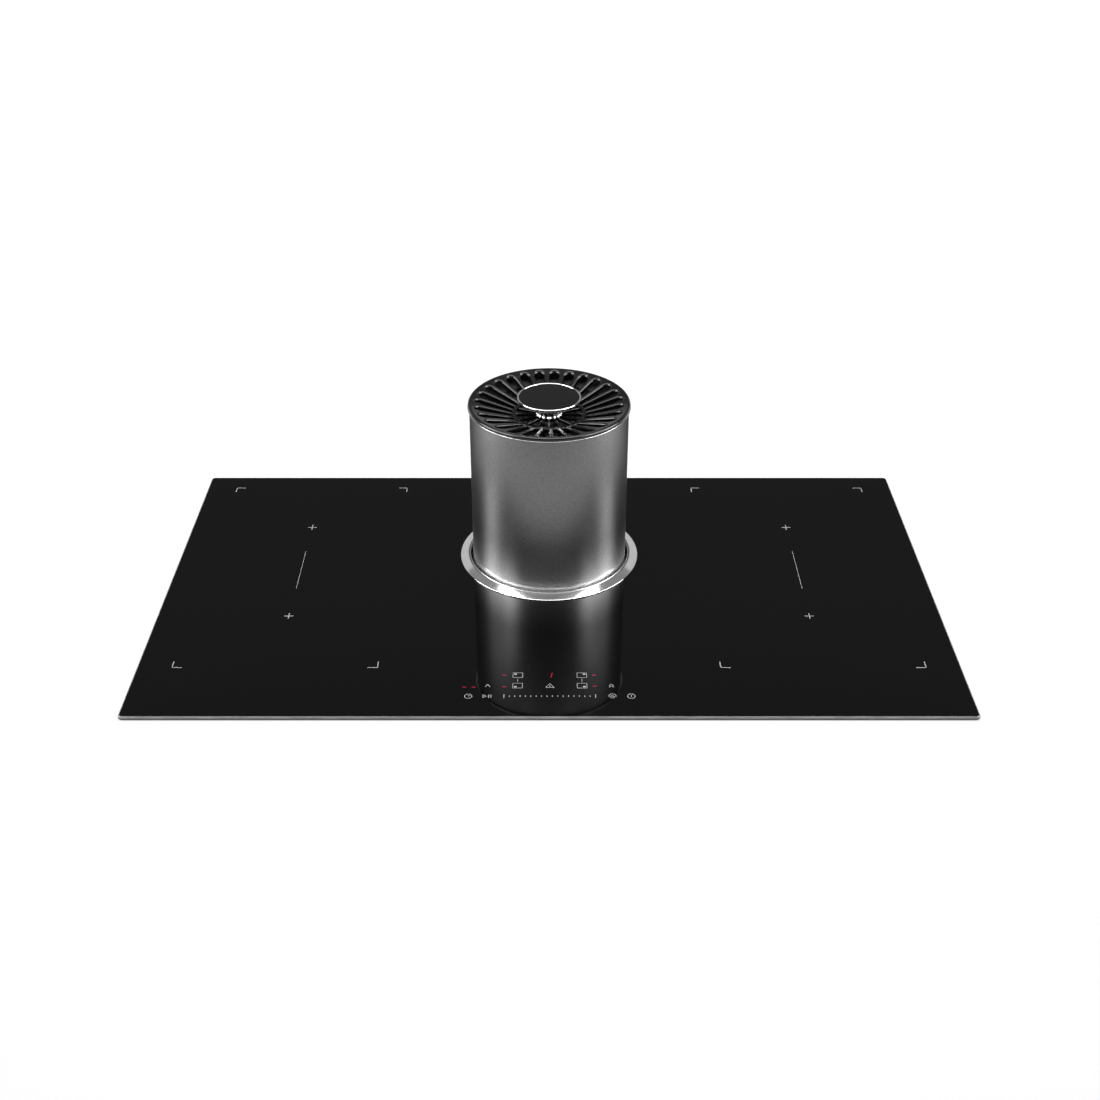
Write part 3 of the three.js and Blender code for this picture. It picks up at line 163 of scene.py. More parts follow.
def makeHandlingGroup():  # slow drift of gloss, with faint wiped streaks and a few specks of dust
    inputs = [("Scale", "NodeSocketFloat", 6.0), ("Streaks", "NodeSocketFloat", 0.4),
              ("Dust", "NodeSocketFloat", 0.5)]
    tree, start, end = newShaderGroup("handling", inputs, ["Drift", "Specks"])
    scale = start.outputs["Scale"]
    place = objectPlace(tree)
    look = handlingLook
    drift = noise(tree, place, scale, look["detail"])
    drawn = {"Vector": place, "Scale": look["wipe"], "Rotation": (0, 0, look["wipeLean"])}
    streak = noise(tree, addNode(tree, "ShaderNodeMapping", drawn).outputs[0], scale)
    total = calculate(tree, "ADD", drift, multiply(tree, streak, start.outputs["Streaks"]))
    tree.links.new(rescale(tree, total, 0.0, 1.0, *look["contrast"]), end.inputs["Drift"])
    spots = addNode(tree, "ShaderNodeTexVoronoi", {"Vector": place, "Scale": look["specks"]})
    near = rescale(tree, spots.outputs["Distance"], 1.0, 0.0, *look["speckEdge"])
    chance = addNode(tree, "ShaderNodeSeparateColor", {"Color": spots.outputs["Color"]}).outputs["Red"]
    speck = multiply(tree, near, calculate(tree, "GREATER_THAN", chance, look["speckless"]))
    tree.links.new(multiply(tree, speck, start.outputs["Dust"], True), end.inputs["Specks"])
    return tree


sheetLook = {"rolled": (2.0, 160.0, 160.0), "lineScale": 4.0}


def makeSheetGroup():  # zinc flowers and rolling lines on coated sheet
    inputs = [("Flower Size", "NodeSocketFloat", 90.0), ("Lines", "NodeSocketFloat", 0.3)]
    tree, start, end = newShaderGroup("rolledSheet", inputs, ["Tone", "Height"])
    place = objectPlace(tree)
    cells = addNode(tree, "ShaderNodeTexVoronoi", {"Vector": place, "Scale": start.outputs["Flower Size"]})
    pick = addNode(tree, "ShaderNodeSeparateColor", {"Color": cells.outputs["Color"]}).outputs["Green"]
    drawn = {"Vector": place, "Scale": sheetLook["rolled"]}
    rolled = noise(tree, addNode(tree, "ShaderNodeMapping", drawn).outputs[0], sheetLook["lineScale"])
    lines = multiply(tree, rolled, start.outputs["Lines"])
    tree.links.new(calculate(tree, "ADD", pick, lines), end.inputs["Tone"])
    tree.links.new(rolled, end.inputs["Height"])
    return tree


fineGrain = makeGrainGroup()
handling = makeHandlingGroup()
rolledSheet = makeSheetGroup()


def newFinish(name, color, roughness, metallic=0.0, **more):
    material = bpy.data.materials.new(name)
    material.use_nodes = True
    shader = material.node_tree.nodes["Principled BSDF"]
    shader.inputs["Base Color"].default_value = color
    shader.inputs["Roughness"].default_value = roughness
    shader.inputs["Metallic"].default_value = metallic
    for key, value in more.items():
        shader.inputs[key.replace("_", " ")].default_value = value
    return material, material.node_tree, shader


def placeGroup(tree, group, inputs):
    node = tree.nodes.new("ShaderNodeGroup")
    node.node_tree = group
    for key, value in inputs.items():
        node.inputs[key].default_value = value
    return node.outputs


def feed(tree, shader, socket, value):
    tree.links.new(value, shader.inputs[socket])


def addBump(tree, shader, height, strength, distance):
    bump = addNode(tree, "ShaderNodeBump", {"Height": height, "Strength": strength, "Distance": distance})
    feed(tree, shader, "Normal", bump.outputs["Normal"])


def grainedFinish(name, settings):  # a colour with grain, drift in gloss and a fine bump
    base = settings["color"]
    metallic = settings.get("metallic", 0.0)
    material, tree, shader = newFinish(name, base, settings["roughness"][0], metallic)
    stretch = settings.get("stretch", (1, 1, 1))
    grain = placeGroup(tree, fineGrain, {"Scale": settings["grain"], "Stretch": stretch})
    worn = placeGroup(tree, handling, {"Scale": 7.0, "Streaks": 0.4, "Dust": 0.3})
    spread = settings.get("spread", 0.15)
    darker = tuple(value * (1 - spread) for value in base[:3]) + (1.0,)
    lighter = tuple(min(1.0, value * (1 + spread)) for value in base[:3]) + (1.0,)
    feed(tree, shader, "Base Color", blendColors(tree, grain["Value"], darker, lighter))
    feed(tree, shader, "Roughness", rescale(tree, worn["Drift"], *settings["roughness"]))
    addBump(tree, shader, grain["Height"], settings.get("bump", 0.3), settings.get("depth", 0.0001))
    return material


# Finishes, one for each of the record's slots

finishes = {
    "seal_foam": {"color": tone(38), "roughness": (0.8, 0.95), "grain": 1400.0, "bump": 0.6, "depth": 0.0002},
    "black_rubber": {"color": tone(24), "roughness": (0.5, 0.65), "grain": 1100.0, "bump": 0.25},
    "gloss_black": {"color": tone(12), "roughness": (0.17, 0.23), "grain": 1300.0, "bump": 0.1,
                    "depth": 0.00003},
    "black_moulding": {"color": tone(40), "roughness": (0.42, 0.56), "grain": 800.0, "bump": 0.35},
    "filter_steel": {"color": tone(170), "roughness": (0.24, 0.36), "metallic": 1.0, "grain": 500.0,
                     "stretch": (1, 1, 8)},
    "bright_steel": {"color": tone(190), "roughness": (0.16, 0.26), "metallic": 1.0, "grain": 600.0,
                     "stretch": (1, 1, 14), "spread": 0.08},
    "motor_shell": {"color": tone(165), "roughness": (0.36, 0.5), "metallic": 1.0, "grain": 420.0,
                    "bump": 0.4},
    "copper_winding": {"color": tone(190, 112, 62), "roughness": (0.3, 0.42), "metallic": 1.0, "grain": 260.0,
                       "stretch": (1, 1, 6), "spread": 0.3, "bump": 0.6, "depth": 0.0004},
    "sensor_ceramic": {"color": tone(214, 208, 192), "roughness": (0.5, 0.62), "grain": 700.0,
                       "spread": 0.04},
    "mica": {"color": tone(196, 178, 132), "roughness": (0.35, 0.6), "grain": 140.0, "spread": 0.2},
    "shelf_aluminium": {"color": tone(196), "roughness": (0.3, 0.42), "metallic": 1.0, "grain": 260.0,
                        "stretch": (1, 20, 1), "spread": 0.08},
    "circuit_board": {"color": tone(28, 84, 52), "roughness": (0.34, 0.5), "grain": 420.0, "spread": 0.22},
}


def blackGlassFinish():
    material, tree, shader = newFinish("blackGlass", tone(4), 0.03)
    worn = placeGroup(tree, handling, {"Scale": 5.0, "Streaks": 0.5, "Dust": 0.22})
    feed(tree, shader, "Roughness", rescale(tree, worn["Drift"], 0.022, 0.045))
    feed(tree, shader, "Base Color", blendColors(tree, worn["Specks"], tone(4), tone(70)))
    return material


def groundEdgeFinish(name, dark, light):  # the plate's ground and polished edge, pale as ground glass is; made in a paler copy as painted light and a darker copy as painted shade
    material, tree, shader = newFinish(name, tone(dark), 0.32)
    grain = placeGroup(tree, fineGrain, {"Scale": 420.0, "Stretch": (0.12, 0.12, 1)})
    feed(tree, shader, "Base Color", blendColors(tree, grain["Value"], tone(dark), tone(light)))
    feed(tree, shader, "Roughness", rescale(tree, grain["Value"], 0.28, 0.42))
    addBump(tree, shader, grain["Height"], 0.15, 0.00005)
    return material


def arrisFinish():  # the narrow dark line where the print stops short of the edge
    material, tree, shader = newFinish("edgeArris", tone(3), 0.5, **{"Specular_IOR_Level": 0.08})
    grain = placeGroup(tree, fineGrain, {"Scale": 300.0})
    feed(tree, shader, "Roughness", rescale(tree, grain["Value"], 0.45, 0.6))
    return material


def polishedSteelFinish():
    material, tree, shader = newFinish("polishedSteel", tone(222), 0.08, 1.0)
    grain = placeGroup(tree, fineGrain, {"Scale": 90.0, "Stretch": (1, 1, 6)})
    worn = placeGroup(tree, handling, {"Scale": 14.0, "Streaks": 0.5, "Dust": 0.1})
    feed(tree, shader, "Base Color", blendColors(tree, grain["Value"], tone(238), tone(248)))
    feed(tree, shader, "Roughness", rescale(tree, worn["Drift"], 0.06, 0.14))
    return material


# The foot settings shape a painted glow that brightens the wall towards its foot; it is not wear
satinSteel = {"dark": tone(106), "light": tone(124), "roughness": (0.33, 0.38), "grain": 700.0,
              "foot": 0.29, "footTop": 0.352, "footGlowGain": 3.6, "footGlowFade": 1.8}


def satinSteelFinish():  # blasted steel with an even sparkle, with a painted glow that makes it paler towards its foot, standing in for light thrown up by the polished collar
    material, tree, shader = newFinish("satinSteel", tone(115), 0.36, 1.0)
    shader.inputs["Specular Tint"].default_value = tone(120)
    grain = placeGroup(tree, fineGrain, {"Scale": satinSteel["grain"]})
    worn = placeGroup(tree, handling, {"Scale": 9.0, "Streaks": 0.2, "Dust": 0.1})
    height = addNode(tree, "ShaderNodeSeparateXYZ", {0: objectPlace(tree)}).outputs["Z"]
    # Painted light: the base colour is raised up to 4.6 times from the foot's top down to the foot, standing
    # in for the collar's reflected light
    paintedFootGlow = rescale(tree, height, 1.0, 0.0, satinSteel["foot"], satinSteel["footTop"])
    paintedFootGlow = calculate(tree, "POWER", paintedFootGlow, satinSteel["footGlowFade"])
    gain = calculate(tree, "ADD", multiply(tree, paintedFootGlow, satinSteel["footGlowGain"]), 1.0)
    steel = blendColors(tree, grain["Value"], satinSteel["dark"], satinSteel["light"])
    paler = addNode(tree, "ShaderNodeVectorMath", {0: steel, "Scale": gain}, operation="SCALE")
    feed(tree, shader, "Base Color", paler.outputs["Vector"])
    feed(tree, shader, "Roughness", rescale(tree, worn["Drift"], *satinSteel["roughness"]))
    addBump(tree, shader, grain["Height"], 0.35, 0.00012)
    return material


def zincSheetFinish():
    material, tree, shader = newFinish("zincSheet", tone(178), 0.38, 1.0)
    sheet = placeGroup(tree, rolledSheet, {"Flower Size": 95.0, "Lines": 0.3})
    worn = placeGroup(tree, handling, {"Scale": 6.0, "Streaks": 0.3, "Dust": 0.3})
    feed(tree, shader, "Base Color", blendColors(tree, sheet["Tone"], tone(158), tone(190)))
    total = calculate(tree, "ADD", sheet["Tone"], worn["Drift"])
    feed(tree, shader, "Roughness", rescale(tree, total, 0.28, 0.5, 0.0, 2.0))
    addBump(tree, shader, sheet["Height"], 0.12, 0.00005)
    return material


def printFinish():  # fired ceramic print
    material, tree, shader = newFinish("panelPrint", tone(196), 0.45)
    grain = placeGroup(tree, fineGrain, {"Scale": 2600.0})
    feed(tree, shader, "Base Color", blendColors(tree, grain["Value"], tone(184), tone(206)))
    return material


def displayFinish():  # lit red segments seen through the glass
    material, tree, shader = newFinish("displayRed", tone(150, 12, 50), 0.2, **{"Emission_Strength": 1.0})
    grain = placeGroup(tree, fineGrain, {"Scale": 1800.0})
    lit = blendColors(tree, grain["Value"], tone(150, 18, 54), tone(172, 28, 66))
    feed(tree, shader, "Emission Color", lit)
    return material


finishMakers = {
    "black_glass": blackGlassFinish,
    "polished_steel": polishedSteelFinish,
    "satin_steel": satinSteelFinish,
    "zinc_sheet": zincSheetFinish,
    "panel_print": printFinish,
    "display_red": displayFinish,
}
slotFinish = {name: grainedFinish(name, settings) for name, settings in finishes.items()}
slotFinish.update({name: make() for name, make in finishMakers.items()})
# Two copies of one ground-glass finish: the paler one on the chamfer is painted light, the darker one on the
# upright face is painted shade
litGroundEdge = groundEdgeFinish("groundGlassEdgeLit", 146, 176)
shadedGroundFace = groundEdgeFinish("groundGlassFaceShaded", 112, 140)
edgeArris = arrisFinish()


def dressFrame():  # every carried-over solid takes its slot's finish
    for row in frame["record"]["subparts"]:
        for place in frame["nodes"][row["node"]].material_slots:
            place.material = slotFinish[row["material_slot"]]


dressFrame()
print("finishes ready")


# Mesh helpers

mergeDistance = 1e-7
joinDistance = 2e-6  # where copies or the solid's loose triangles meet


def markSharp(mesh, degrees):
    work = bmesh.new()
    work.from_mesh(mesh)
    limit = math.radians(degrees)
    for face in work.faces:
        face.smooth = True
    for edge in work.edges:
        edge.smooth = len(edge.link_faces) == 2 and edge.calc_face_angle(0) < limit
    work.to_mesh(mesh)
    work.free()


def finishPiece(work, name, materials, degrees=35):  # materials, or the slots they belong to
    bmesh.ops.remove_doubles(work, verts=work.verts, dist=mergeDistance)
    bmesh.ops.recalc_face_normals(work, faces=work.faces)
    mesh = bpy.data.meshes.new(name)
    work.to_mesh(mesh)
    work.free()
    for material in materials:
        mesh.materials.append(slotFinish.get(material, material))
    markSharp(mesh, degrees)
    piece = bpy.data.objects.new(name, mesh)
    bpy.context.scene.collection.objects.link(piece)
    return piece


def hold(piece, body, slot, *replaced):
    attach(piece, body)
    if replaced:
        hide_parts(*replaced)


def addRing(work, radius, z, segments, centre, wave=None):
    if radius < mergeDistance:
        return [work.verts.new((centre.x, centre.y, z))]
    ring = []
    for i in range(segments):
        angle = 2 * math.pi * i / segments
        reach = radius + (wave(angle) if wave else 0)
        x, y = reach * math.cos(angle), reach * math.sin(angle)
        ring.append(work.verts.new((centre.x + x, centre.y + y, z)))
    return ring


def bridge(work, first, second, index=0):
    count = max(len(first), len(second))
    if count == 1:
        return
    for i in range(count):
        j = (i + 1) % count
        corners = [first[i % len(first)], first[j % len(first)]]
        corners += [second[j % len(second)], second[i % len(second)]]
        unique = list(dict.fromkeys(corners))
        if len(unique) > 2:
            work.faces.new(unique).material_index = index


def bridgeAll(work, rings, indexes=None):
    for i in range(len(rings) - 1):
        bridge(work, rings[i], rings[i + 1], indexes[i] if indexes else 0)


def closeBar(work, ends):  # the walls between a bar's two end sections, and both ends
    bridge(work, ends[0], ends[1])
    work.faces.new(ends[0])
    work.faces.new(list(reversed(ends[1])))


# Turns an outline of (radius, height) about an upright axis. A closed outline makes a ring.
def turned(name, outline, slot, segments, centre=towerAxis, closed=False, degrees=35):
    work = bmesh.new()
    rings = [addRing(work, radius, z, segments, centre) for radius, z in outline]
    bridgeAll(work, rings)
    if closed:
        bridge(work, rings[-1], rings[0])
    return finishPiece(work, name, [slot], degrees)


def offsets(radius, height, rows):  # outline points in millimetres from a corner
    return [(radius + across * mm, height + up * mm) for across, up in rows]


def roundedOutline(width, depth, radius, steps):
    points = []
    for sx, sy, start in ((1, 1, 0), (-1, 1, 90), (-1, -1, 180), (1, -1, 270)):
        for i in range(steps + 1):
            angle = math.radians(start + 90 * i / steps)
            x = sx * (width / 2 - radius) + radius * math.cos(angle)
            y = sy * (depth / 2 - radius) + radius * math.sin(angle)
            points.append((x, y))
    return points


def arc(centre, radius, first, last, steps):
    angles = [math.radians(first + (last - first) * i / steps) for i in range(steps + 1)]
    return [(centre[0] + radius * math.cos(a), centre[1] + radius * math.sin(a)) for a in angles]


# Geometry Nodes helpers

def newGeometryTree(name, inputs):
    tree = bpy.data.node_groups.new(name, "GeometryNodeTree")
    tree.interface.new_socket("Geometry", in_out="INPUT", socket_type="NodeSocketGeometry")
    for label, kind in inputs:
        tree.interface.new_socket(label, in_out="INPUT", socket_type=kind)
    tree.interface.new_socket("Geometry", in_out="OUTPUT", socket_type="NodeSocketGeometry")
    return tree, tree.nodes.new("NodeGroupInput"), tree.nodes.new("NodeGroupOutput")


def makeRingTree():  # copies of the mesh turned about its upright axis and joined where they meet
    inputs = [("Count", "NodeSocketInt"), ("First Turn", "NodeSocketFloat"), ("Finish", "NodeSocketMaterial")]
    tree, start, end = newGeometryTree("ringOfCopies", inputs)
    points = addNode(tree, "GeometryNodePoints", {"Count": start.outputs["Count"]})
    index = addNode(tree, "GeometryNodeInputIndex").outputs[0]
    share = calculate(tree, "DIVIDE", index, start.outputs["Count"])
    turn = calculate(tree, "ADD", multiply(tree, share, 2 * math.pi), start.outputs["First Turn"])
    rotation = addNode(tree, "ShaderNodeCombineXYZ", {"Z": turn})
    copies = addNode(tree, "GeometryNodeInstanceOnPoints", {
        "Points": points.outputs[0],
        "Instance": start.outputs["Geometry"],
        "Rotation": rotation.outputs[0],
    })
    real = addNode(tree, "GeometryNodeRealizeInstances", {"Geometry": copies.outputs[0]})
    touching = {"Geometry": real.outputs[0], "Distance": joinDistance}
    joined = addNode(tree, "GeometryNodeMergeByDistance", touching)
    inputs = {"Geometry": joined.outputs[0], "Material": start.outputs["Finish"]}
    painted = addNode(tree, "GeometryNodeSetMaterial", inputs)
    tree.links.new(painted.outputs[0], end.inputs[0])
    return tree


def makeRowTree():  # copies of the mesh in a straight row
    inputs = [("Count", "NodeSocketInt"), ("Step", "NodeSocketVector"), ("Finish", "NodeSocketMaterial")]
    tree, start, end = newGeometryTree("rowOfCopies", inputs)
    line = {"Count": start.outputs["Count"], "Offset": start.outputs["Step"]}
    row = addNode(tree, "GeometryNodeMeshLine", line)
    copies = addNode(tree, "GeometryNodeInstanceOnPoints", {
        "Points": row.outputs[0],
        "Instance": start.outputs["Geometry"],
    })
    real = addNode(tree, "GeometryNodeRealizeInstances", {"Geometry": copies.outputs[0]})
    inputs = {"Geometry": real.outputs[0], "Material": start.outputs["Finish"]}
    painted = addNode(tree, "GeometryNodeSetMaterial", inputs)
    tree.links.new(painted.outputs[0], end.inputs[0])
    return tree


ringOfCopies = makeRingTree()
rowOfCopies = makeRowTree()


# Runs a tree on a piece and keeps the plain result
def repeatPiece(piece, tree, slot, values, centre=towerAxis, degrees=35):
    values = dict(values, Finish=slotFinish[slot])
    modifier = piece.modifiers.new("copies", "NODES")
    modifier.node_group = tree
    for socket in tree.interface.items_tree:
        if socket.item_type == "SOCKET" and socket.name in values:
            modifier[socket.identifier] = values[socket.name]
    depsgraph = bpy.context.evaluated_depsgraph_get()
    mesh = bpy.data.meshes.new_from_object(piece.evaluated_get(depsgraph), depsgraph=depsgraph)
    piece.modifiers.remove(modifier)
    piece.data = mesh
    mesh.name = piece.name
    mesh.transform(Matrix.Translation(centre))
    markSharp(mesh, degrees)


# Glass plate

glassSizes = {
    "cornerRadius": 5 * mm,
    "cornerSteps": 10,
    "holeRadius": 102.3 * mm,
    "holeSteps": 160,
    "chamfer": 1.6 * mm,
    "arris": 0.7 * mm,
    "arrisFall": 0.03 * mm,
    "round": (0.15 * mm, 0.1 * mm),
    "underChamfer": 0.5 * mm,
}


def buildGlassPlate():
    sizes = glassSizes
    width = glassHigh.x - glassLow.x
    depth = glassHigh.y - glassLow.y
    top = glassHigh.z
    work = bmesh.new()
    levels = [
        (sizes["chamfer"] + sizes["arris"], top),
        (sizes["chamfer"], top - sizes["arrisFall"]),
        (sizes["round"][0], top - sizes["chamfer"] + sizes["round"][1]),
        (0.0, top - sizes["chamfer"] - sizes["round"][1]),
        (0.0, glassLow.z + sizes["underChamfer"]),
        (sizes["underChamfer"], glassLow.z),
    ]
    rings = []
    for inset, z in levels:
        radius = sizes["cornerRadius"] - inset
        outline = roundedOutline(width - 2 * inset, depth - 2 * inset, radius, sizes["cornerSteps"])
        rings.append([work.verts.new((x, y, z)) for x, y in outline])
    # The arris takes the dark arris finish; the chamfer and its round take the paler ground copy, as painted
    # light; the upright face and under chamfer take the darker copy, as painted shade
    bridgeAll(work, rings, (2, 1, 1, 3, 3))
    holes = [addRing(work, sizes["holeRadius"], z, sizes["holeSteps"], towerAxis) for z in (top, glassLow.z)]
    bridge(work, holes[0], holes[1], 1)
    for outer, hole in ((rings[0], holes[0]), (rings[-1], holes[1])):
        edges = [loopEdge(work, loop, i) for loop in (outer, hole) for i in range(len(loop))]
        bmesh.ops.triangle_fill(work, edges=edges, use_beauty=True)
    plate = finishPiece(work, "glassPlate", ["black_glass", litGroundEdge, edgeArris, shadedGroundFace], 25)
    hold(plate, "hob", "black_glass", "glass_plate")


def loopEdge(work, loop, i):
    pair = (loop[i], loop[(i + 1) % len(loop)])
    return work.edges.get(pair) or work.edges.new(pair)


buildGlassPlate()
print("glass plate built")


# Printed marks on the glass, as thin raised films

markSizes = {"lift": 0.02 * mm, "film": 0.04 * mm, "lap": 0.25}


def addFilm(work, points):  # a closed thin slab over a flat outline given in millimetres
    low = glassHigh.z + markSizes["lift"]
    high = low + markSizes["film"]
    under = [work.verts.new((x * mm, y * mm, low)) for x, y in points]
    over = [work.verts.new((x * mm, y * mm, high)) for x, y in points]
    work.faces.new(list(reversed(under)))
    work.faces.new(over)
    bridge(work, under, over)


def addStroke(work, points, width, closed=False):  # one slab for each stretch of a drawn line
    count = len(points)
    stretches = count if closed else count - 1
    half = width / 2
    for i in range(stretches):
        a = Vector(points[i])
        b = Vector(points[(i + 1) % count])
        along = (b - a).normalized() * half
        side = Vector((-along.y, along.x))
        lap = along * markSizes["lap"]
        addFilm(work, [a - lap - side, b + lap - side, b + lap + side, a - lap + side])


def addCircle(work, x, y, radius, width, first=0, last=360, steps=28):  # part of a ring drawn in one slab
    outer = arc((x, y), radius + width / 2, first, last, steps)
    inner = arc((x, y), radius - width / 2, first, last, steps)
    for i in range(steps):
        addFilm(work, [inner[i], outer[i], outer[i + 1], inner[i + 1]])


def addBar(work, x, y, width, depth):
    left, right, front, back = x - width / 2, x + width / 2, y - depth / 2, y + depth / 2
    addFilm(work, [(left, front), (right, front), (right, back), (left, back)])


zoneMarks = {"left": -411.0, "right": -187.0, "front": -172.3, "back": 230.5, "arm": 11.0, "line": 1.0,
             "crossX": -298.5, "crosses": (128.0, -71.7), "joinFrom": -13.7, "joinTo": 70.3, "joinLine": 0.5}


def buildZoneMarks():
    work = bmesh.new()
    sizes = zoneMarks
    arm = sizes["arm"]
    line = sizes["line"]
    reach = (arm - line) / 2
    for side in (1, -1):
        crossX = side * sizes["crossX"]
        for x, inX in ((sizes["left"], 1), (sizes["right"], -1)):
            for y, inY in ((sizes["front"], 1), (sizes["back"], -1)):
                addBar(work, side * (x + inX * arm / 2), y, arm, line)
                addBar(work, side * x, y + inY * (arm + line) / 2, line, arm - line)
        for y in sizes["crosses"]:
            addBar(work, crossX, y, arm, line)
            for up in (1, -1):
                addBar(work, crossX, y + up * (line + reach) / 2, line, reach)
        middle = (sizes["joinFrom"] + sizes["joinTo"]) / 2
        addBar(work, crossX, middle, sizes["joinLine"], sizes["joinTo"] - sizes["joinFrom"])
    hold(finishPiece(work, "zoneMarks", ["panel_print"]), "hob", "panel_print")


panelRows = {"low": -223.8, "middle": -205.2, "high": -186.3}
panelPlaces = {"timer": -85.8, "startPause": -65.8, "lock": 67.2, "power": 87.2, "sliderLeft": -48.0,
               "sliderRight": 49.3, "ticks": 16, "extractor": 0.8, "leftZone": -33.8, "rightZone": 35.3,
               "raise": -65.8, "boost": 66.7}
panelLines = {"round": 0.7, "drawn": 0.6, "plan": 0.55, "thin": 0.5}


def addTimerMark(work, x, y):
    addCircle(work, x, y, 3.9, panelLines["round"], 100, 440)
    addStroke(work, [(x, y + 2.7), (x, y), (x + 2.1, y + 1.2)], panelLines["drawn"])


def addStartPauseMark(work, x, y):
    addStroke(work, [(x - 4.4, y - 2.6), (x - 0.6, y), (x - 4.4, y + 2.6)], panelLines["drawn"], True)
    for across in (1.7, 4.1):
        addBar(work, x + across, y, 0.9, 5.4)


def addFrame(work, x, halfWidth, low, high, line):
    corners = [(x - halfWidth, low), (x + halfWidth, low), (x + halfWidth, high), (x - halfWidth, high)]
    addStroke(work, corners, line, True)


def addLockMark(work, x, y):
    addCircle(work, x, y + 0.2, 3.8, panelLines["round"], -20, 200)
    addFrame(work, x, 1.9, y - 2.9, y - 0.4, panelLines["drawn"])
    addCircle(work, x, y - 0.2, 1.3, panelLines["thin"], 0, 180, 10)


def addPowerMark(work, x, y):
    addCircle(work, x, y, 4.0, panelLines["round"])
    addBar(work, x, y, panelLines["round"], 3.6)


def addZoneMark(work, x, y, sx, sy):  # a small plan of the cooktop with one zone filled in
    addFrame(work, x, 5.2, y - 4.3, y + 4.3, panelLines["plan"])
    addBar(work, x + sx * 2.5, y + sy * 1.9, 2.8, 2.2)


def addExtractorMark(work, x, y):
    addStroke(work, [(x - 4.6, y - 3.4), (x, y + 3.8), (x + 4.6, y - 3.4)], panelLines["drawn"], True)
    addBar(work, x, y - 1.0, 0.8, 2.6)


def addArrow(work, x, foot, tip):
    addStroke(work, [(x - 2.6, foot), (x, tip), (x + 2.6, foot)], panelLines["round"])


def buildPanelMarks():
    work = bmesh.new()
    place = panelPlaces
    low, middle, high = (panelRows[key] for key in ("low", "middle", "high"))
    addTimerMark(work, place["timer"], low)
    addStartPauseMark(work, place["startPause"], low)
    addLockMark(work, place["lock"], low)
    addPowerMark(work, place["power"], low)
    for x in (place["sliderLeft"], place["sliderRight"]):
        addBar(work, x, low, 0.8, 6.4)
    addArrow(work, place["raise"], middle - 2.2, middle + 2.4)
    for drop in (0.2, -2.8):
        addArrow(work, place["boost"], middle + drop, middle + drop + 2.4)
    addExtractorMark(work, place["extractor"], middle)
    for key, sx in (("leftZone", -1), ("rightZone", 1)):
        x = place[key]
        addZoneMark(work, x, middle, sx, -1)
        addZoneMark(work, x, high, sx, 1)
        addBar(work, x, (middle + high) / 2, panelLines["thin"], 5.0)
    hold(finishPiece(work, "panelMarks", ["panel_print"]), "hob", "panel_print")


def buildSliderTicks():
    place = panelPlaces
    work = bmesh.new()
    addBar(work, 0, 0, 0.8, 2.4)
    ticks = finishPiece(work, "sliderTicks", ["panel_print"])
    pitch = (place["sliderRight"] - place["sliderLeft"]) / (place["ticks"] + 1)
    first = Vector(((place["sliderLeft"] + pitch) * mm, panelRows["low"] * mm, 0))
    values = {"Count": place["ticks"], "Step": (pitch * mm, 0, 0)}
    repeatPiece(ticks, rowOfCopies, "panel_print", values, first)
    hold(ticks, "hob", "panel_print")


displays = {
    "bars": ((-90.7, -207.8), (-80.8, -207.8), (-48.0, -207.0), (48.7, -206.0), (-48.3, -186.3),
             (48.7, -186.3)),
    "barSize": (4.0, 0.85),
    "slash": ((1.8, -190.6), (3.4, -182.2)),
    "slashLine": 0.7,
}


def buildDisplays():
    work = bmesh.new()
    for x, y in displays["bars"]:
        addBar(work, x, y, *displays["barSize"])
    addStroke(work, displays["slash"], displays["slashLine"])
    hold(finishPiece(work, "panelDisplays", ["display_red"]), "hob", "display_red")


buildZoneMarks()
buildPanelMarks()
buildSliderTicks()
buildDisplays()
print("marks printed")


# Collar round the tower

collarSizes = {
    "sides": 192,
    "bore": 95.7 * mm,
    "skirtRadius": 100.2 * mm,
    "flangeGap": 0.5 * mm,
    "edge": [(-0.25, 0), (-0.05, 0.07), (0, 0.2), (0, 0.35), (-0.08, 0.5), (-0.3, 0.65), (-0.6, 0.79)],
    "crown": [(3.2, -0.42), (2.5, -0.14), (1.8, -0.02), (1.3, 0), (0.7, -0.1), (0.2, -0.4), (0, -0.9)],
}


def buildCollar():
    bore = collarSizes["bore"]
    skirt = collarSizes["skirtRadius"]
    under = glassHigh.z + collarSizes["flangeGap"]
    outline = [(bore, collarLow.z), (skirt, collarLow.z), (skirt, under)]
    outline += offsets(collarHigh.x, under, collarSizes["edge"])
    outline += offsets(bore, collarHigh.z, collarSizes["crown"])
    ring = turned("collarRing", outline, "polished_steel", collarSizes["sides"], closed=True, degrees=40)
    hold(ring, "hob", "polished_steel", "collar_ring")


buildCollar()


# Tower wall

towerSizes = {"wall": 1.2 * mm, "lip": 0.35 * mm, "sides": 192}


def buildTower():
    outer = towerHigh.x
    inner = outer - towerSizes["wall"]
    lip = towerSizes["lip"]
    outline = [
        (inner, towerLow.z),
        (outer, towerLow.z),
        (outer, towerHigh.z - lip),
        (outer - lip * 0.3, towerHigh.z - lip * 0.3),
        (outer - lip, towerHigh.z),
        (inner, towerHigh.z),
    ]
    tube = turned("towerWall", outline, "satin_steel", towerSizes["sides"], closed=True)
    hold(tube, "tower", "satin_steel", "tower_tube")


buildTower()
print("collar and tower built")


# Cap grille: one slot's share of the cap is modelled and repeated round the axis

